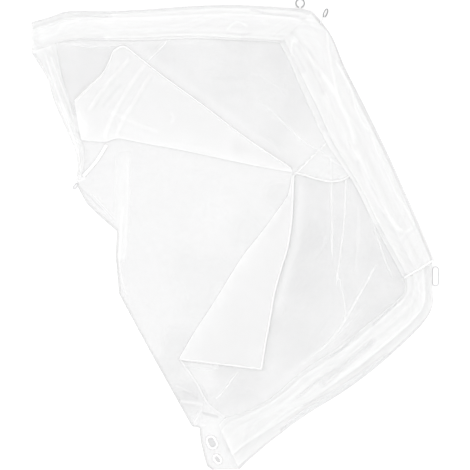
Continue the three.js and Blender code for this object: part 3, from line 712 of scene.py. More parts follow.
def netting_finish(name, scene):
    """Sheer knitted netting, closer on its folds. It is painted whiter on its folds, partly as painted
    highlight, and greyer down in its grooves as painted shade.
    """
    colours = scene.net_finishes
    cover = getattr(colours, name.replace("cloth", "cover"))
    streaks = colours.wall_streaks if name == "wall_cloth" else 0
    finish = Finish(name, Sheen_Weight=0.15, Specular_IOR_Level=0.15)
    threads = finish.crossing(scene.net_sizes.mesh_hole) ** THREAD_SHARPNESS
    streaky = finish.noise(finish.cloth_place(), stretch=(40, 0.9, 1)) - 0.5
    cloudy = finish.noise(finish.object_place(), stretch=(5, 5, 5)) - 0.5
    white = finish.number("white") + streaky * streaks
    # Painted light and shade: whiteness above nought lifts the colour towards the doubled white, below
    # nought it greys it towards the painted shade of deep folds
    shaded_netting = finish.blend((0 - white).between(0, 1), rgba(colours.netting), rgba(colours.groove_shade))
    finish.paint(white.between(0, 1), shaded_netting, rgba(colours.doubled))
    texture = (threads - THREAD_MEAN) * THREAD_COVER + streaky * streaks + cloudy * CLOUD_COVER
    close = cover + finish.number("dense") + texture
    finish.feed("Alpha", close.between(*COVER_LIMITS))
    finish.feed("Roughness", 0.85 - threads * 0.15)
    finish.emboss(threads, distance=0.0002, strength=0.15)
    return finish.material


def hem_finish(name, scene):
    """Netting folded twice and sewn."""
    colours = scene.net_finishes
    finish = Finish(name, Sheen_Weight=0.2, Specular_IOR_Level=0.15)
    threads = finish.crossing(scene.net_sizes.mesh_hole) ** THREAD_SHARPNESS
    puckers = finish.noise(finish.cloth_place(), stretch=(60, 160, 1)) - 0.5
    shade = (threads * 0.1 + puckers * 0.3).between(0, 1)
    finish.paint(shade, rgba(colours.hem), rgba(colours.netting))
    finish.feed("Alpha", HEM_COVER + threads * 0.12)
    finish.feed("Roughness", 0.85 - threads * 0.15)
    finish.emboss(threads * 0.4 + puckers, distance=0.0006, strength=0.5)
    return finish.material


def tape_finish(name, scene):
    """Plain-woven tape with fine ribs across it, worn a little."""
    tape = scene.net_finishes.tape
    finish = Finish(name, Sheen_Weight=0.2, Specular_IOR_Level=0.2)
    across, along = finish.across_and_along()
    weave = finish.lines(along, RIB_PITCH) * finish.lines(across, YARN_PITCH)
    wear = finish.noise(finish.object_place(), stretch=(90, 90, 90)) - 0.5
    shade = (0.35 - weave * 0.35 + wear * 0.3).between(0, 1)
    finish.paint(shade, rgba(tape), rgba(tape, 0.8))
    finish.feed("Roughness", 0.9 - weave * 0.2)
    finish.emboss(weave, distance=0.0002, strength=0.6)
    return finish.material


def cord_finish(name, scene):
    """Braided cord: two sets of strands that wind round it."""
    cord = scene.net_finishes.cord
    finish = Finish(name, Sheen_Weight=0.2, Specular_IOR_Level=0.25)
    strands = finish.crossing(STRAND_PITCH)
    finish.paint(strands, rgba(cord, 0.6), rgba(cord, 1.15))
    finish.feed("Roughness", 0.85 - strands * 0.2)
    finish.emboss(strands, distance=0.0004, strength=0.8)
    return finish.material


def steel_finish(name, scene):
    """Plated steel wire, drawn lengthwise and worn a little."""
    ring = scene.net_finishes.ring
    finish = Finish(name, Metallic=1.0)
    drawn = finish.noise(finish.cloth_place(), stretch=(3000, 60, 1))
    worn = finish.noise(finish.object_place(), stretch=(180, 180, 180))
    finish.paint(worn, rgba(ring, 0.8), rgba(ring, 1.25))
    finish.feed("Roughness", 0.22 + drawn * 0.2 + worn * 0.08)
    finish.emboss(drawn, distance=0.00005, strength=0.3)
    return finish.material


def thread_finish(name, scene):
    """Sewing thread with its twist."""
    hem = scene.net_finishes.hem
    finish = Finish(name, Sheen_Weight=0.3)
    twist = finish.noise(finish.object_place(), stretch=(1500, 1500, 1500), detail=0.0)
    finish.paint(twist, rgba(hem), rgba(hem, 0.85))
    finish.feed("Roughness", 0.6 + twist * 0.2)
    return finish.material


def floor_finish(name, scene):
    """Matt floor with a faint mottle."""
    floor = scene.net_finishes.floor
    finish = Finish(name, Specular_IOR_Level=0.1)
    mottle = finish.noise(finish.object_place(), stretch=(0.6, 0.6, 0.6))
    finish.paint(mottle, rgba(floor), rgba(floor, 1.02))
    finish.feed("Roughness", 0.9 + mottle * 0.05)
    return finish.material


FINISHES = {
    "back_cloth": netting_finish,
    "door_cloth": netting_finish,
    "wall_cloth": netting_finish,
    "hem_netting": hem_finish,
    "woven_tape": tape_finish,
    "braided_cord": cord_finish,
    "plated_steel": steel_finish,
    "sewing_thread": thread_finish,
    "pale_floor": floor_finish,
}


def finish_for(context, name):
    """The finish of one name, made when it is first asked for."""
    return bpy.data.materials.get(name) or FINISHES[name](name, context.scene)


# Shapes in plan


def curve(points, shares):
    """Places on a smooth curve through points, at shares of the way along it."""
    points = np.asarray(points, float)
    last = len(points) - 1
    place = np.clip(np.asarray(shares, float), 0, 1) * last
    start = np.minimum(place.astype(int), last - 1)
    step = (place - start)[:, None]
    before = points[np.maximum(start - 1, 0)]
    here = points[start]
    there = points[start + 1]
    after = points[np.minimum(start + 2, last)]
    leave = (there - before) / 2
    arrive = (after - here) / 2
    cubic = 2 * here - 2 * there + leave + arrive
    square = 3 * there - 3 * here - 2 * leave - arrive
    return ((cubic * step + square) * step + leave) * step + here


def even_curve(points, pitch):
    """Places along a curve with steps of about one pitch."""
    total = lengths(curve(points, np.linspace(0, 1, CURVE_SAMPLES)))[-1]
    return curve(points, np.linspace(0, 1, max(int(total / pitch), 2) + 1))


def lengths(line):
    """Distance along a line of points, from its start."""
    steps = np.linalg.norm(np.diff(line, axis=0), axis=1)
    return np.concatenate([[0], np.cumsum(steps)])


def unit(vectors):
    return vectors / np.maximum(np.linalg.norm(vectors, axis=-1, keepdims=True), 1e-9)


def left_of(line):
    """Unit vectors in plan to the left of a line."""
    along = unit(np.gradient(line, axis=0))
    return np.stack([-along[:, 1], along[:, 0]], axis=1)


def raised(places, height):
    """Places in plan, put at a height."""
    return np.column_stack([places, np.broadcast_to(height, len(places))])


def columns(rows, *names):
    return np.array([[getattr(row, name) for name in names] for row in rows], float)


def rim(rows, near, far, inset, start=0, stop=1):
    """Rim of a wall, moved towards its other rim by a distance."""
    shares = np.linspace(start, stop, RIM_STEPS)
    place = curve(columns(rows, near + "_x", near + "_y"), shares)
    inward = curve(columns(rows, far + "_x", far + "_y"), shares) - place
    return place + unit(inward) * inset


def joined(*parts):
    """One outline from several, without places that nearly repeat."""
    line = np.vstack(parts)
    step = np.linalg.norm(line - np.roll(line, 1, axis=0), axis=1)
    return line[step > SAME_PLACE]


def patch(places, spot):
    """A soft round patch: 1 in the middle of a spot and 0 at its reach."""
    away = np.hypot(places[:, 0] - spot.x, places[:, 1] - spot.y) / spot.reach
    return np.clip(1 - away**2, 0, None) ** 2


def fold_effect(places, folds):
    """Lift, whiteness and closeness that soft folds give to places in plan."""
    lift, white, close = np.zeros((3, len(places)))
    for fold in folds:
        half = fold.width / 2
        line = curve(fold.route, np.linspace(0, 1, FOLD_SAMPLES))
        within = (places > line.min(0) - half) & (places < line.max(0) + half)
        near = np.flatnonzero(within.all(axis=1))
        if near.size == 0:
            continue
        gaps = np.linalg.norm(places[near, None] - line[None], axis=2)
        share = gaps.argmin(axis=1) / (FOLD_SAMPLES - 1)
        shape = np.cos(np.clip(gaps.min(axis=1) / half, 0, 1) * math.pi / 2) ** 2
        shape *= np.sin(np.clip(np.minimum(share, 1 - share) / FOLD_TAPER, 0, 1) * math.pi / 2)
        lift[near] += fold.height * shape
        white[near] += fold.white * shape
        if fold.height or fold.white < 0:
            close[near] += abs(fold.white) * shape
    return lift, white, close


def inside(places, outline):
    """Which places lie inside an outline."""
    hits = np.zeros(len(places), bool)
    x, y = places[:, 0], places[:, 1]
    for (x1, y1), (x2, y2) in zip(outline, np.roll(outline, -1, axis=0)):
        if y1 == y2:
            continue
        level = (y1 > y) != (y2 > y)
        hits ^= level & (x < x1 + (y - y1) * (x2 - x1) / (y2 - y1))
    return hits


def apart(places, others, gap):
    """Those places that keep a gap from all others."""
    tree = KDTree(len(others))
    for index, (x, y) in enumerate(others):
        tree.insert((x, y, 0), index)
    tree.balance()
    far = [tree.find((x, y, 0))[2] > gap for x, y in places]
    return places[np.array(far, bool)]


def crease_places(fold):
    """Close rows of places along a fold, on its crest and both flanks."""
    line = even_curve(fold.route, CREASE_PITCH)
    side = left_of(line)
    return np.vstack([line + side * fold.width * share for share in (-0.5, -0.25, 0, 0.25, 0.5)])


def filled(outline, folds):
    """Places and triangles in plan that fill an outline, closer together along folds."""
    low, high = outline.min(0), outline.max(0)
    rows = np.arange(low[1], high[1], PANEL_PITCH * ROW_SHARE)
    across = np.arange(low[0], high[0], PANEL_PITCH)
    grid = np.array([(x + PANEL_PITCH / 2 * (j % 2), y) for j, y in enumerate(rows) for x in across])
    creases = np.vstack([crease_places(fold) for fold in folds])
    inner = np.vstack([creases, apart(grid, creases, PANEL_PITCH * CREASE_CLEARANCE)])
    inner = apart(inner[inside(inner, outline)], outline, PANEL_PITCH * RIM_CLEARANCE)
    places = [Vector(place) for place in np.vstack([outline, inner]).tolist()]
    rim_face = [list(range(len(outline)))]
    made, _, faces, *_ = delaunay_2d_cdt(places, [], rim_face, INSIDE_ONLY, SNAP)
    return np.array(made), [list(face) for face in faces]


# Pieces of cloth


def linked(name, data):
    """Makes an object from its data and puts it in the scene."""
    made = bpy.data.objects.new(name, data)
    bpy.context.scene.collection.objects.link(made)
    return made


def settle(piece, node):
    """Puts a finished piece in the place of its solid, if it stands for one."""
    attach(piece, "root")
    if node:
        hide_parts(node)


class Sheet:
    """Points, faces and fields of a piece while it is made, in millimetres."""

    def __init__(self, *parts):
        self.points, self.cloth, self.white, self.dense, self.faces = [], [], [], [], []
        if parts:
            self.add(*parts)

    def add(self, points, faces, cloth, white=0, dense=0):
        start = sum(len(block) for block in self.points)
        self.points.append(points)
        self.cloth.append(raised(cloth, 0))
        self.white.append(np.broadcast_to(white, len(points)))
        self.dense.append(np.broadcast_to(dense, len(points)))
        self.faces += [[i + start for i in face] for face in faces]

    def piece(self, context, name, finish, slot, node=None, thickness=0):
        """Makes the object, half of its thickness to each side, and settles it."""
        mesh = bpy.data.meshes.new(name)
        mesh.from_pydata((np.vstack(self.points) * MM).tolist(), [], self.faces)
        cloth = mesh.attributes.new("cloth", "FLOAT_VECTOR", "POINT")
        cloth.data.foreach_set("vector", (np.vstack(self.cloth) * MM).ravel())
        # The white field carries painted light and shade into the netting's colour; dense carries the
        # light it stops
        for field, blocks in (("white", self.white), ("dense", self.dense)):
            mesh.attributes.new(field, "FLOAT", "POINT").data.foreach_set("value", np.hstack(blocks))
        mesh.materials.append(finish_for(context, finish))
        mesh.shade_smooth()
        piece = linked(name, mesh)
        if thickness:
            solidify = piece.modifiers.new("thickness", "SOLIDIFY")
            solidify.thickness = thickness * MM
            solidify.offset = 0
        settle(piece, node)
        return piece


def grid_faces(rows, across, closed=False):
    """Quads of a grid of points, joined from last row to first if it is closed."""
    quads = []
    for i in range(rows if closed else rows - 1):
        low, high = i * across, ((i + 1) % rows) * across
        quads += [[low + j, low + j + 1, high + j + 1, high + j] for j in range(across - 1)]
    return quads


def tube_faces(rows, sides, closed=False):
    """Quads round a tube, with a cap at each end unless it is closed."""
    quads = []
    for i in range(rows if closed else rows - 1):
        low, high = i * sides, ((i + 1) % rows) * sides
        for j in range(sides):
            k = (j + 1) % sides
            quads.append([low + j, low + k, high + k, high + j])
    if not closed:
        quads += [list(range(sides))[::-1], list(range((rows - 1) * sides, rows * sides))]
    return quads


def panel_height(places, level, folds):
    """Middle of a laid panel, over its slack and over the folds of what it lies on and its own."""
    slack = sum(mound.height * patch(places, mound) for mound in SLACK)
    return level + CLOTH / 2 + slack + fold_effect(places, folds)[0]


def lay_panel(sheet, outline, level, under, folds, tones, other=None):
    """Adds a laid panel. It is painted whiter where it overlaps the other door, given as an outline,
    partly as painted light.
    """
    places, faces = filled(outline, folds)
    height = panel_height(places, level, under)
    patches = [patch(places, tone) for tone in tones]
    dense = sum(tone.dense * part for tone, part in zip(tones, patches))
    # Tones, the overlap with the other door and the creases paint the panel lighter, as painted light,
    # or greyer, as painted shade
    white = sum(tone.white * part for tone, part in zip(tones, patches))
    if other is not None:
        overlap = inside(places, other)
        dense += OVERLAP_DENSE * overlap
        white += overlap
    _, crease, close = fold_effect(places, folds)
    dense += close * CREASE_DENSE
    sheet.add(raised(places, height), faces, places, white + crease * CREASE_WHITE, dense)


def hem_band(sheet, edge, inner, sizes, white=1.0, dense=0.0):
    """Adds a flat rolled hem between an edge and a line inside it, and keeps its sewing line."""
    turn = np.linspace(0, 2 * math.pi, HEM_SIDES, endpoint=False)
    middle = (edge + inner) / 2
    half = (edge - inner) / 2
    up = unit(np.cross(unit(np.gradient(middle, axis=0)), unit(half)))
    up *= np.sign(up[:, 2:3])
    thick = sizes.hem_thickness / MM / 2
    wide, tall = (np.sign(way) * np.abs(way) ** HEM_FULLNESS for way in (np.cos(turn), np.sin(turn)))
    points = middle[:, None] + half[:, None] * wide[:, None] + up[:, None] * thick * tall[:, None]
    reach = np.linalg.norm(half, axis=1)
    along = np.repeat(lengths(middle), HEM_SIDES)
    cloth = np.stack([(reach[:, None] * wide).ravel(), along], axis=1)
    sheet.add(points.reshape(-1, 3), tube_faces(len(middle), HEM_SIDES), cloth, white, dense)
    sewing_lines.append(middle - half * SEAM_INSET + up * thick * STITCH_LEVEL)


def flat_hem(sheet, line, inward, level, folds, sizes, white=1.0, dense=0.0):
    """Hems an edge of a laid panel, along a line in plan."""
    width = sizes.hem_width / MM
    plan = line, line + inward * width
    edge, inner = (raised(places, panel_height(places, level, folds)) for places in plan)
    hem_band(sheet, edge, inner, sizes, white, dense)


class LapelShape:
    """A door's edge folded back over its own panel."""

    def __init__(self, rows, level, under, folds, white, fold_dense):
        along = np.linspace(0, 1, LAPEL_STEPS + 1)
        self.fold = curve(columns(rows, "fold_x", "fold_y"), along)
        self.hem = curve(columns(rows, "hem_x", "hem_y"), along)
        self.width = np.linalg.norm(self.hem - self.fold, axis=1)
        self.inward = unit(self.hem - self.fold)
        uneven = 1 - UNEVEN_DEPTH * (1 - np.sin(UNEVEN_TURNS * along))
        self.spring = uneven * np.minimum(self.width / NARROW_LAPEL, 1)
        self.level = level
        self.under = under
        self.folds = folds
        self.white = white
        self.fold_dense = fold_dense

    def at(self, share):
        """Points across the lapel at a share of its width, their flat places, white and denseness."""
        share = np.broadcast_to(share, len(self.fold))
        away = share * self.width
        place = self.fold + self.inward * away[:, None]
        reach = away / ROLL_REACH
        roll = ROLL_HEIGHT * reach * np.exp(1 - reach)
        lift, white, _ = fold_effect(place, self.folds)
        height = panel_height(place, self.level, self.under) + 2 * NOSE_RADIUS + lift
        height += self.spring * (roll + HEM_LIFT * share**2)
        flat = self.fold - self.inward * away[:, None]
        dense = LAPEL_DENSE + white * CREASE_DENSE + self.fold_dense * np.exp(-away / FOLD_DENSE_REACH)
        # The lapel is painted white, partly as painted light on its raised fold; the lower lapel rises
        # to full white at its hem
        white += self.white + (UPPER_LAPEL_WHITE - self.white) * share**2
        return raised(place, height), flat, white, dense

    def nose(self, angle):
        """Points round the fold, from the panel up to the lapel."""
        base = panel_height(self.fold, self.level, self.under)
        place = self.fold - self.inward * NOSE_RADIUS * math.sin(angle)
        return raised(place, base + NOSE_RADIUS * (1 - math.cos(angle)))

    def cover(self, sheet):
        """Adds the round of the fold and the edge folded back."""
        count = len(self.fold)
        # The round of the fold takes the lapel's white, partly painted light
        pale = np.full(count, self.white)
        close = np.full(count, LAPEL_DENSE + self.fold_dense)
        angles = np.linspace(0, math.pi, NOSE_STEPS + 1)[:-1]
        strips = [(self.nose(angle), self.fold, pale, close) for angle in angles]
        strips += [self.at(share) for share in np.linspace(0, 1, LAPEL_ACROSS + 1)]
        points, flats, whites, denses = zip(*strips)
        quads = grid_faces(len(strips), count)
        sheet.add(np.vstack(points), quads, np.vstack(flats), np.hstack(whites), np.hstack(denses))

    def hem_edge(self, sheet, sizes):
        """Hems the free edge, narrower where the lapel is narrow."""
        inner_share = 1 - np.minimum(sizes.hem_width / MM / self.width, WIDEST_HEM)
        hem_band(sheet, self.at(1)[0], self.at(inner_share)[0], sizes)

    def hem_end(self, sheet, sizes):
        """Hems the lower end, from the fold to the free corner."""
        lines = np.array([self.at(share)[0] for share in np.linspace(0, 1, END_STEPS + 1)])
        edge, before = lines[:, -1], lines[:, -3]
        inner = edge + unit(before - edge) * sizes.hem_width / MM
        hem_band(sheet, edge, inner, sizes)


def gather_height(rows, along, level):
    """Height of a wall's layer at a share of the way across, as a function of both."""
    puff = curve([(i, row.puff) for i, row in enumerate(rows)], along)[:, 1]

    def height(layer, share):
        ripple = np.cos(2 * math.pi * (RIPPLES * share + RIPPLE_SWAY * np.sin(RIPPLE_BENDS * along)))
        bulge = np.sin(math.pi * np.clip(share, 0, 1)) * (1 - RIPPLE_DEPTH * (1 - ripple))
        return level + CLOTH / 2 + layer * (FOLD_PITCH + puff * bulge)

    return height


def smooth_step(value):
    """Rises softly from 0 to 1 while the value does."""
    value = np.clip(value, 0, 1)
    return value * value * (3 - 2 * value)


def turn_places(turns, along):
    """Where each layer turns back along a wall. All but the turn at the panels wander a little."""
    places = []
    for k, turn in enumerate(turns):
        bends = WANDER_START * k + WANDER_BENDS * along * (1 + WANDER_GROWTH * k)
        reach = 0 if k == PANEL_TURN else FOLD_WANDER
        places.append(turn + reach * np.sin(bends))
    return places


def wall_sheet(context, wall):
    """A wall gathered in long layers laid back and forth along the edge of the panels."""
    along = np.linspace(0, 1, WALL_STEPS + 1)
    outer = curve(columns(wall.rows, "outer_x", "outer_y"), along)
    across = curve(columns(wall.rows, "inner_x", "inner_y"), along) - outer
    width = np.linalg.norm(across, axis=1)
    across = unit(across)
    height = gather_height(wall.rows, along, wall.level)
    place = turn_places(wall.turns, along)
    last = len(place) - 2
    reach, rise, pale, depth = [], [], [], []

    # Painted shade: the whiteness falls towards the outer rim
    def whiteness(share):
        return SHADED_RIM_WHITE + (wall.white - SHADED_RIM_WHITE) * smooth_step(share / RIM_REACH)

    def line(gap, half):
        return np.exp(-((gap * width / half) ** 2))

    for layer in range(last + 1):
        start, stop = place[layer], place[layer + 1]
        for step in range(LAYER_STEPS + 1):
            share = start + (stop - start) * step / LAYER_STEPS
            reach.append(share * width)
            rise.append(height(layer, share))
            turn = np.minimum(abs(share - start) + (layer == 0), abs(share - stop) + (layer == last))
            free = abs(share - start) + (layer > 0)
            # A whiter line where a layer turns back, partly painted highlight
            bright = TURN_WHITE * line(turn, TURN_LINE)
            # The outer free edge gets a grey line of painted shade
            pale.append(whiteness(share) + bright - FREE_EDGE_SHADE * line(free, FREE_LINE))
            depth.append(layer / last)
        if layer == last:
            break
        radius = (height(layer + 1, stop) - height(layer, stop)) / 2
        outward = np.sign(stop - start)
        for angle in np.linspace(0, math.pi, TURN_STEPS + 2)[1:-1]:
            reach.append(stop * width + outward * radius * math.sin(angle))
            rise.append(height(layer, stop) + radius * (1 - math.cos(angle)))
            # The round of each turn is painted whiter, partly as painted highlight
            pale.append(whiteness(stop) + TURN_WHITE)
            depth.append((layer + angle / math.pi) / last)
    reach, rise, pale = (np.array(block).T for block in (reach, rise, pale))
    plan = (outer[:, None] + across[:, None] * reach[:, :, None]).reshape(-1, 2)
    lift, white, _ = fold_effect(plan, wall.folds)
    points = raised(plan, rise.ravel() + lift * np.tile(depth, len(along)))
    sections = points.reshape(len(along), -1, 3)
    spread = np.array([lengths(section) for section in sections]).ravel()
    run = np.repeat(lengths(outer), sections.shape[1])
    inner = smooth_step((reach / width[:, None] - INNER_START) / (1 - INNER_START))
    dense = white * CREASE_DENSE - INNER_SHEER * inner.ravel()
    quads = grid_faces(len(along), sections.shape[1])
    sheet = Sheet(points, quads, np.stack([spread, run], axis=1), pale.ravel() + white, dense)
    return sheet.piece(context, wall.node + "_net", "wall_cloth", "wall_netting", wall.node), sections


# Tapes, cords and wire


def strip(path, side, width, steps, closed=False):
    """A flat strip along a path, as points, faces and its flat places."""
    offsets = np.linspace(-0.5, 0.5, steps + 1) * width
    points = path[:, None] + side[:, None] * offsets[None, :, None]
    cloth = np.stack([np.tile(offsets, len(path)), np.repeat(lengths(path), steps + 1)], axis=1)
    return points.reshape(-1, 3), grid_faces(len(path), steps + 1, closed), cloth


def ring_tube(path, radius, sides):
    """A closed round tube along a path in plan; the radius may change along it."""
    along = unit(np.roll(path, -1, axis=0) - np.roll(path, 1, axis=0))
    side = unit(np.cross(along, (0, 0, 1)))
    top = np.cross(side, along)
    turn = np.linspace(0, 2 * math.pi, sides, endpoint=False)
    radius = np.broadcast_to(radius, len(path))[:, None, None]
    ring = side[:, None] * np.cos(turn)[:, None] + top[:, None] * np.sin(turn)[:, None]
    points = path[:, None] + ring * radius
    around = np.tile(turn * float(radius.mean()), len(path))
    cloth = np.stack([around, np.repeat(lengths(path), sides)], axis=1)
    return points.reshape(-1, 3), tube_faces(len(path), sides, closed=True), cloth


def turned(places, degrees, x, y):
    angle = math.radians(degrees)
    turn = np.array([[math.cos(angle), math.sin(angle)], [-math.sin(angle), math.cos(angle)]])
    return places @ turn + (x, y)


def loop_path(loop, band, count):
    """Middle line of a closed loop with straight sides and round ends, and the way out from it."""
    radius = (loop.width - band) / 2
    half = (loop.length - band) / 2 - radius
    ends = np.linspace(-math.pi / 2, math.pi / 2, count // 2)
    right = np.stack([half + radius * np.cos(ends), radius * np.sin(ends)], axis=1)
    path = np.vstack([right, -right])
    along = unit(np.roll(path, -1, axis=0) - np.roll(path, 1, axis=0))
    out = np.stack([along[:, 1], -along[:, 0]], axis=1)
    path = raised(turned(path, loop.turn, loop.x, loop.y), loop.z)
    return path, raised(turned(out, loop.turn, 0, 0), 0)


def rotation(axis, angle):
    """Matrix that turns column vectors about X or Z."""
    c, s = math.cos(angle), math.sin(angle)
    if axis == "X":
        return np.array([[1, 0, 0], [0, c, -s], [0, s, c]])
    return np.array([[c, -s, 0], [s, c, 0], [0, 0, 1]])


def tape_piece(context, name, parts, node=None):
    """A piece of woven tape from the points, faces and flat places of a strip."""
    return Sheet(*parts).piece(context, name, "woven_tape", "tape", node, TAPE)


# Operators


class NET_OT_back_panel(bpy.types.Operator):
    """Lays the back panel with its slack, folds and left hem"""

    bl_idname = "net.back_panel"
    bl_label = "Back panel"

    def execute(self, context):
        outline = joined(
            rim(TOP_WALL, "outer", "inner", BACK_INSET),
            rim(RIGHT_WALL, "outer", "inner", BACK_INSET, CORNER_SHARE, 1),
            rim(BOTTOM_WALL, "outer", "inner", BOTTOM_BACK_INSET, CORNER_SHARE, 1),
            np.array(LEFT_EDGE[::-1], float),
            rim(LEFT_WALL, "outer", "inner", BACK_INSET, 1, 0),
        )
        sheet = Sheet()
        lay_panel(sheet, outline, 0, BACK_FOLDS, BACK_FOLDS, BACK_TONES)
        panel = sheet.piece(context, "back_net", "back_cloth", "back_netting", "back_panel")
        edge = joined(*(np.linspace(a, b, EDGE_STEPS) for a, b in zip(LEFT_EDGE, LEFT_EDGE[1:])))
        sheet = Sheet()
        sizes = context.scene.net_sizes
        flat_hem(sheet, edge, left_of(edge), 0, BACK_FOLDS, sizes, **BACK_HEM_TONE)
        hem = sheet.piece(context, "back_hem", "back_cloth", "back_netting")
        return {"FINISHED"}


class NET_OT_doors(bpy.types.Operator):
    """Lays both door panels, folds their edges back and hems them"""

    bl_idname = "net.doors"
    bl_label = "Doors"

    def execute(self, context):
        lower_under = BACK_FOLDS + LOWER_FOLDS
        upper_under = lower_under + UPPER_FOLDS
        lower = LapelShape(
            LOWER_LAPEL, LOWER_LEVEL, lower_under, LOWER_LAPEL_FOLDS, LOWER_LAPEL_WHITE, LOWER_FOLD_DENSE
        )
        upper = LapelShape(
            UPPER_LAPEL, UPPER_LEVEL, upper_under, UPPER_LAPEL_FOLDS, UPPER_LAPEL_WHITE, UPPER_FOLD_DENSE
        )
        upper_outline = joined(
            self.under_wall(TOP_WALL, *UPPER_UNDER_TOP),
            self.under_wall(RIGHT_WALL, *UPPER_UNDER_RIGHT),
            even_curve(UPPER_SCALLOP, PANEL_PITCH),
            upper.fold[::-1],
            self.under_wall(LEFT_WALL, *UPPER_UNDER_LEFT),
        )
        lower_outline = joined(
            even_curve(LOWER_TOP_HEM, PANEL_PITCH),
            self.under_wall(RIGHT_WALL, *LOWER_UNDER_RIGHT),
            self.under_wall(BOTTOM_WALL, *LOWER_UNDER_BOTTOM),
            even_curve(LOWER_BOTTOM_HEM, PANEL_PITCH)[:-1],
            lower.fold[::-1],
        )
        lower_net = self.net(
            context, "lower_door", lower_outline, lower, LOWER_FOLDS, LOWER_TONES, upper_outline
        )
        sheet = Sheet()
        sizes = context.scene.net_sizes
        lower.hem_edge(sheet, sizes)
        lower.hem_end(sheet, sizes)
        self.hem(sheet, LOWER_TOP_HEM, lower, sizes)
        lower_hem = sheet.piece(context, "lower_door_hem", "hem_netting", "door_netting")
        sheet = Sheet()
        self.hem(sheet, LOWER_BOTTOM_HEM, lower, sizes, **FOOT_HEM_TONE)
        foot_hem = sheet.piece(context, "lower_door_foot_hem", "door_cloth", "door_netting")

        upper_net = self.net(
            context, "upper_door", upper_outline, upper, UPPER_FOLDS, UPPER_TONES, lower_outline
        )
        sheet = Sheet()
        upper.hem_edge(sheet, sizes)
        self.hem(sheet, UPPER_SCALLOP, upper, sizes)
        upper_hem = sheet.piece(context, "upper_door_hem", "hem_netting", "door_netting")
        return {"FINISHED"}

    def under_wall(self, rows, start, stop):
        """The edge of a door that lies a little way under a wall."""
        return rim(rows, "inner", "outer", UNDERLAP, start, stop)

    def net(self, context, node, outline, lapel, folds, tones, other):
        """A door's laid panel, the round of its fold and the edge folded back, in one cloth."""
        sheet = Sheet()
        lay_panel(sheet, outline, lapel.level, lapel.under, folds, tones, other)
        lapel.cover(sheet)
        return sheet.piece(context, node + "_net", "door_cloth", "door_netting", node)

    def hem(self, sheet, points, lapel, sizes, **tone):
        """Hems an edge of the laid panel."""
        line = even_curve(points, HEM_PITCH)
        flat_hem(sheet, line, -left_of(line), lapel.level, lapel.under, sizes, **tone)


class NET_OT_walls(bpy.types.Operator):
    """Gathers the four walls along the outside of the panels and binds their corner"""

    bl_idname = "net.walls"
    bl_label = "Walls"

    def execute(self, context):
        made, sections = {}, {}
        for wall in WALLS:
            made[wall.node], sections[wall.node] = wall_sheet(context, wall)
        binding = self.binding(context, sections["right_wall"][-1], sections["bottom_wall"][0])
        for wall in WALLS:
            bound = [binding] if wall.node == "right_wall" else []
        return {"FINISHED"}

    def binding(self, context, *sections):
        """Binds the corner where two walls meet with a narrow tape laid over their ends."""
        tops = np.vstack(sections)
        corner = BOTTOM_WALL[0]
        ends = (corner.inner_x, corner.inner_y), (corner.outer_x, corner.outer_y)
        plan = np.linspace(*ends, BINDING_STEPS)
        gaps = np.linalg.norm(plan[:, None] - tops[None, :, :2], axis=2)
        crown = np.array([tops[gap < BINDING_WIDTH, 2].max() for gap in gaps])
        window = np.ones(2 * BINDING_EASE + 1) / (2 * BINDING_EASE + 1)
        eased = np.convolve(np.pad(crown, BINDING_EASE, mode="edge"), window, mode="valid")
        path = raised(plan, np.maximum(eased, crown) + CLOTH)
        band = strip(path, raised(left_of(plan), 0), BINDING_WIDTH, steps=8)
        return tape_piece(context, "corner_binding", band)


class NET_OT_corner_loops(bpy.types.Operator):
    """Makes the cord loops, the tape loops and the tape that stays the left corner"""

    bl_idname = "net.corner_loops"
    bl_label = "Corner loops"

    def execute(self, context):
        for node, loop in CORD_LOOPS.items():
            path, _ = loop_path(loop, 2 * CORD_RADIUS, count=72)
            cord = Sheet(*ring_tube(path, CORD_RADIUS, sides=14))
            cord.piece(context, node + "_cord", "braided_cord", "cord", node)
        for node, loop in TAPE_LOOPS.items():
            path, out = loop_path(loop, TAPE_LOOP_BAND, count=64)
            band = strip(path, out, TAPE_LOOP_BAND, steps=6, closed=True)
            tape_piece(context, node + "_tape", band, node)
        plan = even_curve(STAY_TAPE, STAY_PITCH)
        stay = strip(raised(plan, TAPE_LEVEL), raised(left_of(plan), 0), TAPE_WIDTH, steps=12)
        tape_piece(context, "stay_tape_band", stay, "stay_tape")
        return {"FINISHED"}


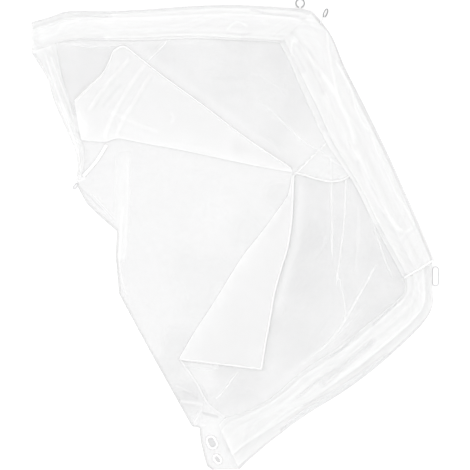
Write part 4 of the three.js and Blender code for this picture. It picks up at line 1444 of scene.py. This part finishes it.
class NET_OT_rings(bpy.types.Operator):
    """Makes the two hanging rings and the tape tabs folded round them"""

    bl_idname = "net.rings"
    bl_label = "Hanging rings"

    def execute(self, context):
        dip = math.asin((FLAT_RING["z"] - RING_WIRE) / (2 * RING_RADIUS))
        lie = rotation("X", -dip)
        place = np.array([FLAT_RING["x"], FLAT_RING["y"] - RING_RADIUS, FLAT_RING["z"] + RING_PLAY])
        self.ring(context, "ring_flat", lie, place + lie @ (0, RING_RADIUS, 0))
        upright = rotation("Z", math.pi / 2) @ rotation("X", math.pi / 2)
        droop = rotation("X", FLAT_RING["droop"])
        self.tab(context, "ring_flat_tab", FLAT_RING["leg"], droop @ upright, place)

        heading = rotation("Z", LEANING_RING["heading"])
        standing = RING_RADIUS * math.sin(RING_LEAN) + RING_WIRE + RING_PLAY
        centre = np.array([LEANING_RING["x"], LEANING_RING["y"], standing])
        self.ring(context, "ring_leaning", heading @ rotation("X", RING_LEAN), centre)
        beside = centre + heading @ (-RING_RADIUS, 0, 0)
        lean = heading @ rotation("X", RING_LEAN - math.pi / 2)
        self.tab(context, "ring_leaning_tab", LEANING_RING["leg"], lean, beside)
        return {"FINISHED"}

    def ring(self, context, node, turn, centre):
        """A ring of round wire, a little thicker at its weld."""
        angle = np.linspace(0, 2 * math.pi, RING_STEPS, endpoint=False)
        path = RING_RADIUS * np.stack([np.cos(angle), np.sin(angle), 0 * angle], axis=1)
        weld = 1 + WELD_SWELL * np.exp(-(((angle - WELD_ANGLE) / WELD_SPAN) ** 2))
        points, faces, cloth = ring_tube(path, RING_WIRE * weld, sides=18)
        wire = Sheet(points @ turn.T + centre, faces, cloth)
        wire.piece(context, node + "_wire", "plated_steel", "ring_steel", node)

    def tab(self, context, node, leg, turn, place):
        """A tape that runs up one leg, round the wire and down the other leg."""
        eye = RING_WIRE + EYE_SLACK + TAPE / 2
        gap = TAPE / 2 + TAPE_SLACK / 2
        meet = math.asin(gap / eye)
        bend = np.linspace(-math.pi + meet, math.pi - meet, EYE_STEPS + 1)
        legs = np.linspace(1, 0, LEG_STEPS + 1)[:-1] * leg
        under = np.stack([-eye - legs, np.full(len(legs), -gap)], axis=1)
        over = np.stack([-eye - legs[::-1], np.full(len(legs), gap)], axis=1)
        line = np.vstack([under, eye * np.stack([np.cos(bend), np.sin(bend)], axis=1), over])
        side = np.tile((0.0, 0.0, 1.0), (len(line), 1))
        points, faces, cloth = strip(raised(line, 0), side, TAB_WIDTH, steps=6)
        tape_piece(context, node + "_tape", (points @ turn.T + place, faces, cloth), node)


def stitch_tree():
    """Geometry nodes that set even stitches along lines."""
    tree = bpy.data.node_groups.new("stitches along lines", "GeometryNodeTree")
    face = tree.interface
    face.new_socket("Geometry", in_out="INPUT", socket_type="NodeSocketGeometry")
    for name in ("Pitch", "Length", "Width"):
        face.new_socket(name, in_out="INPUT", socket_type="NodeSocketFloat")
    face.new_socket("Thread", in_out="INPUT", socket_type="NodeSocketMaterial")
    face.new_socket("Geometry", in_out="OUTPUT", socket_type="NodeSocketGeometry")
    given = add_node(tree, "NodeGroupInput").outputs
    lines = add_node(tree, "GeometryNodeMeshToCurve", sockets={"Mesh": given["Geometry"]})
    sockets = {"Curve": lines.outputs[0], "Length": given["Pitch"]}
    places = add_node(tree, "GeometryNodeCurveToPoints", {"mode": "LENGTH"}, sockets)
    bead = add_node(tree, "GeometryNodeMeshIcoSphere", sockets={"Radius": 0.5, "Subdivisions": 1})
    sockets = {"X": given["Width"], "Y": given["Width"], "Z": given["Length"]}
    size = add_node(tree, "ShaderNodeCombineXYZ", sockets=sockets)
    sockets = {
        "Points": places.outputs["Points"],
        "Instance": bead.outputs["Mesh"],
        "Rotation": places.outputs["Rotation"],
        "Scale": size.outputs[0],
    }
    stitches = add_node(tree, "GeometryNodeInstanceOnPoints", sockets=sockets)
    real = add_node(tree, "GeometryNodeRealizeInstances", sockets={"Geometry": stitches.outputs[0]})
    sockets = {"Geometry": real.outputs[0], "Material": given["Thread"]}
    threaded = add_node(tree, "GeometryNodeSetMaterial", sockets=sockets)
    add_node(tree, "NodeGroupOutput", sockets={"Geometry": threaded.outputs[0]})
    return tree


class NET_OT_sewing(bpy.types.Operator):
    """Sews a row of stitches along each hem"""

    bl_idname = "net.sewing"
    bl_label = "Sewing"

    def execute(self, context):
        sizes = context.scene.net_sizes
        mesh = bpy.data.meshes.new("sewing lines")
        points, edges = [], []
        for line in sewing_lines:
            edges += [(len(points) + i, len(points) + i + 1) for i in range(len(line) - 1)]
            points += (line * MM).tolist()
        mesh.from_pydata(points, edges, [])
        lines = linked("sewing lines", mesh)
        modifier = lines.modifiers.new("stitches", "NODES")
        modifier.node_group = stitch_tree()
        given = {
            "Pitch": sizes.stitch_pitch,
            "Length": sizes.stitch_length,
            "Width": sizes.stitch_width,
            "Thread": finish_for(context, "sewing_thread"),
        }
        for item in modifier.node_group.interface.items_tree:
            if item.in_out == "INPUT" and item.name in given:
                modifier[item.identifier] = given[item.name]
        sewn = lines.evaluated_get(context.evaluated_depsgraph_get())
        stitches = linked("hem_stitches", bpy.data.meshes.new_from_object(sewn))
        bpy.data.objects.remove(lines)
        settle(stitches, None)
        return {"FINISHED"}


class NET_OT_stage(bpy.types.Operator):
    """Sets the pale floor, the soft light from the upper left and the camera above"""

    bl_idname = "net.stage"
    bl_label = "Stage"

    def execute(self, context):
        scene = context.scene
        mesh = bpy.data.meshes.new("floor")
        corners = [(-1, -1), (1, -1), (1, 1), (-1, 1)]
        floor_points = [(x * FLOOR_HALF, y * FLOOR_HALF, -FLOOR_DROP) for x, y in corners]
        mesh.from_pydata(floor_points, [], [(0, 1, 2, 3)])
        mesh.materials.append(finish_for(context, "pale_floor"))
        linked("floor", mesh)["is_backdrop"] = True

        world = bpy.data.worlds.new("studio")
        world.use_nodes = True
        sky = world.node_tree.nodes["Background"]
        sky.inputs["Color"].default_value = (1, 1, 1, 1)
        sky.inputs["Strength"].default_value = SKY_STRENGTH
        scene.world = world

        lamp = bpy.data.lights.new("soft window", "AREA")
        lamp.size = LAMP_SIZE
        lamp.energy = LAMP_POWER
        window = linked("soft window", lamp)
        window.location = LAMP_PLACE
        window.rotation_euler = Vector(LAMP_PLACE).to_track_quat("Z", "Y").to_euler()

        camera = bpy.data.cameras.new("above")
        camera.sensor_width = SENSOR
        camera.lens = SENSOR * CAMERA_HEIGHT / VIEW_WIDTH
        scene.camera = linked("above", camera)
        scene.camera.location = (*CAMERA_CENTRE, CAMERA_HEIGHT)
        scene.view_settings.view_transform = "Standard"
        scene.cycles.transparent_max_bounces = 48
        scene.cycles.max_bounces = 16
        scene.cycles.diffuse_bounces = 12
        return {"FINISHED"}


class NET_PT_panel(bpy.types.Panel):
    """Sizes, finishes and the steps of the net"""

    bl_label = "Mosquito net"
    bl_idname = "NET_PT_panel"
    bl_space_type = "VIEW_3D"
    bl_region_type = "UI"
    bl_category = "Net"

    def draw(self, context):
        for group in (context.scene.net_sizes, context.scene.net_finishes):
            box = self.layout.box()
            for name in group.__annotations__:
                box.prop(group, name)
        for step in STEPS:
            self.layout.operator(step.bl_idname)


STEPS = (
    NET_OT_back_panel,
    NET_OT_doors,
    NET_OT_walls,
    NET_OT_corner_loops,
    NET_OT_rings,
    NET_OT_sewing,
    NET_OT_stage,
)
CLASSES = (NetSizes, NetFinishes, *STEPS, NET_PT_panel)


def register():
    for cls in CLASSES:
        bpy.utils.register_class(cls)
    bpy.types.Scene.net_sizes = PointerProperty(type=NetSizes)
    bpy.types.Scene.net_finishes = PointerProperty(type=NetFinishes)


def unregister():
    del bpy.types.Scene.net_finishes
    del bpy.types.Scene.net_sizes
    for cls in reversed(CLASSES):
        bpy.utils.unregister_class(cls)


def main():
    register()
    for step in STEPS:
        group, name = step.bl_idname.split(".")
        getattr(getattr(bpy.ops, group), name)()
    boxes = {"cad": CAD_BOX, "visual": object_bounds()}
    {name: [list(corner) for corner in box] for name, box in boxes.items()}


if __name__ == "__main__":
    main()
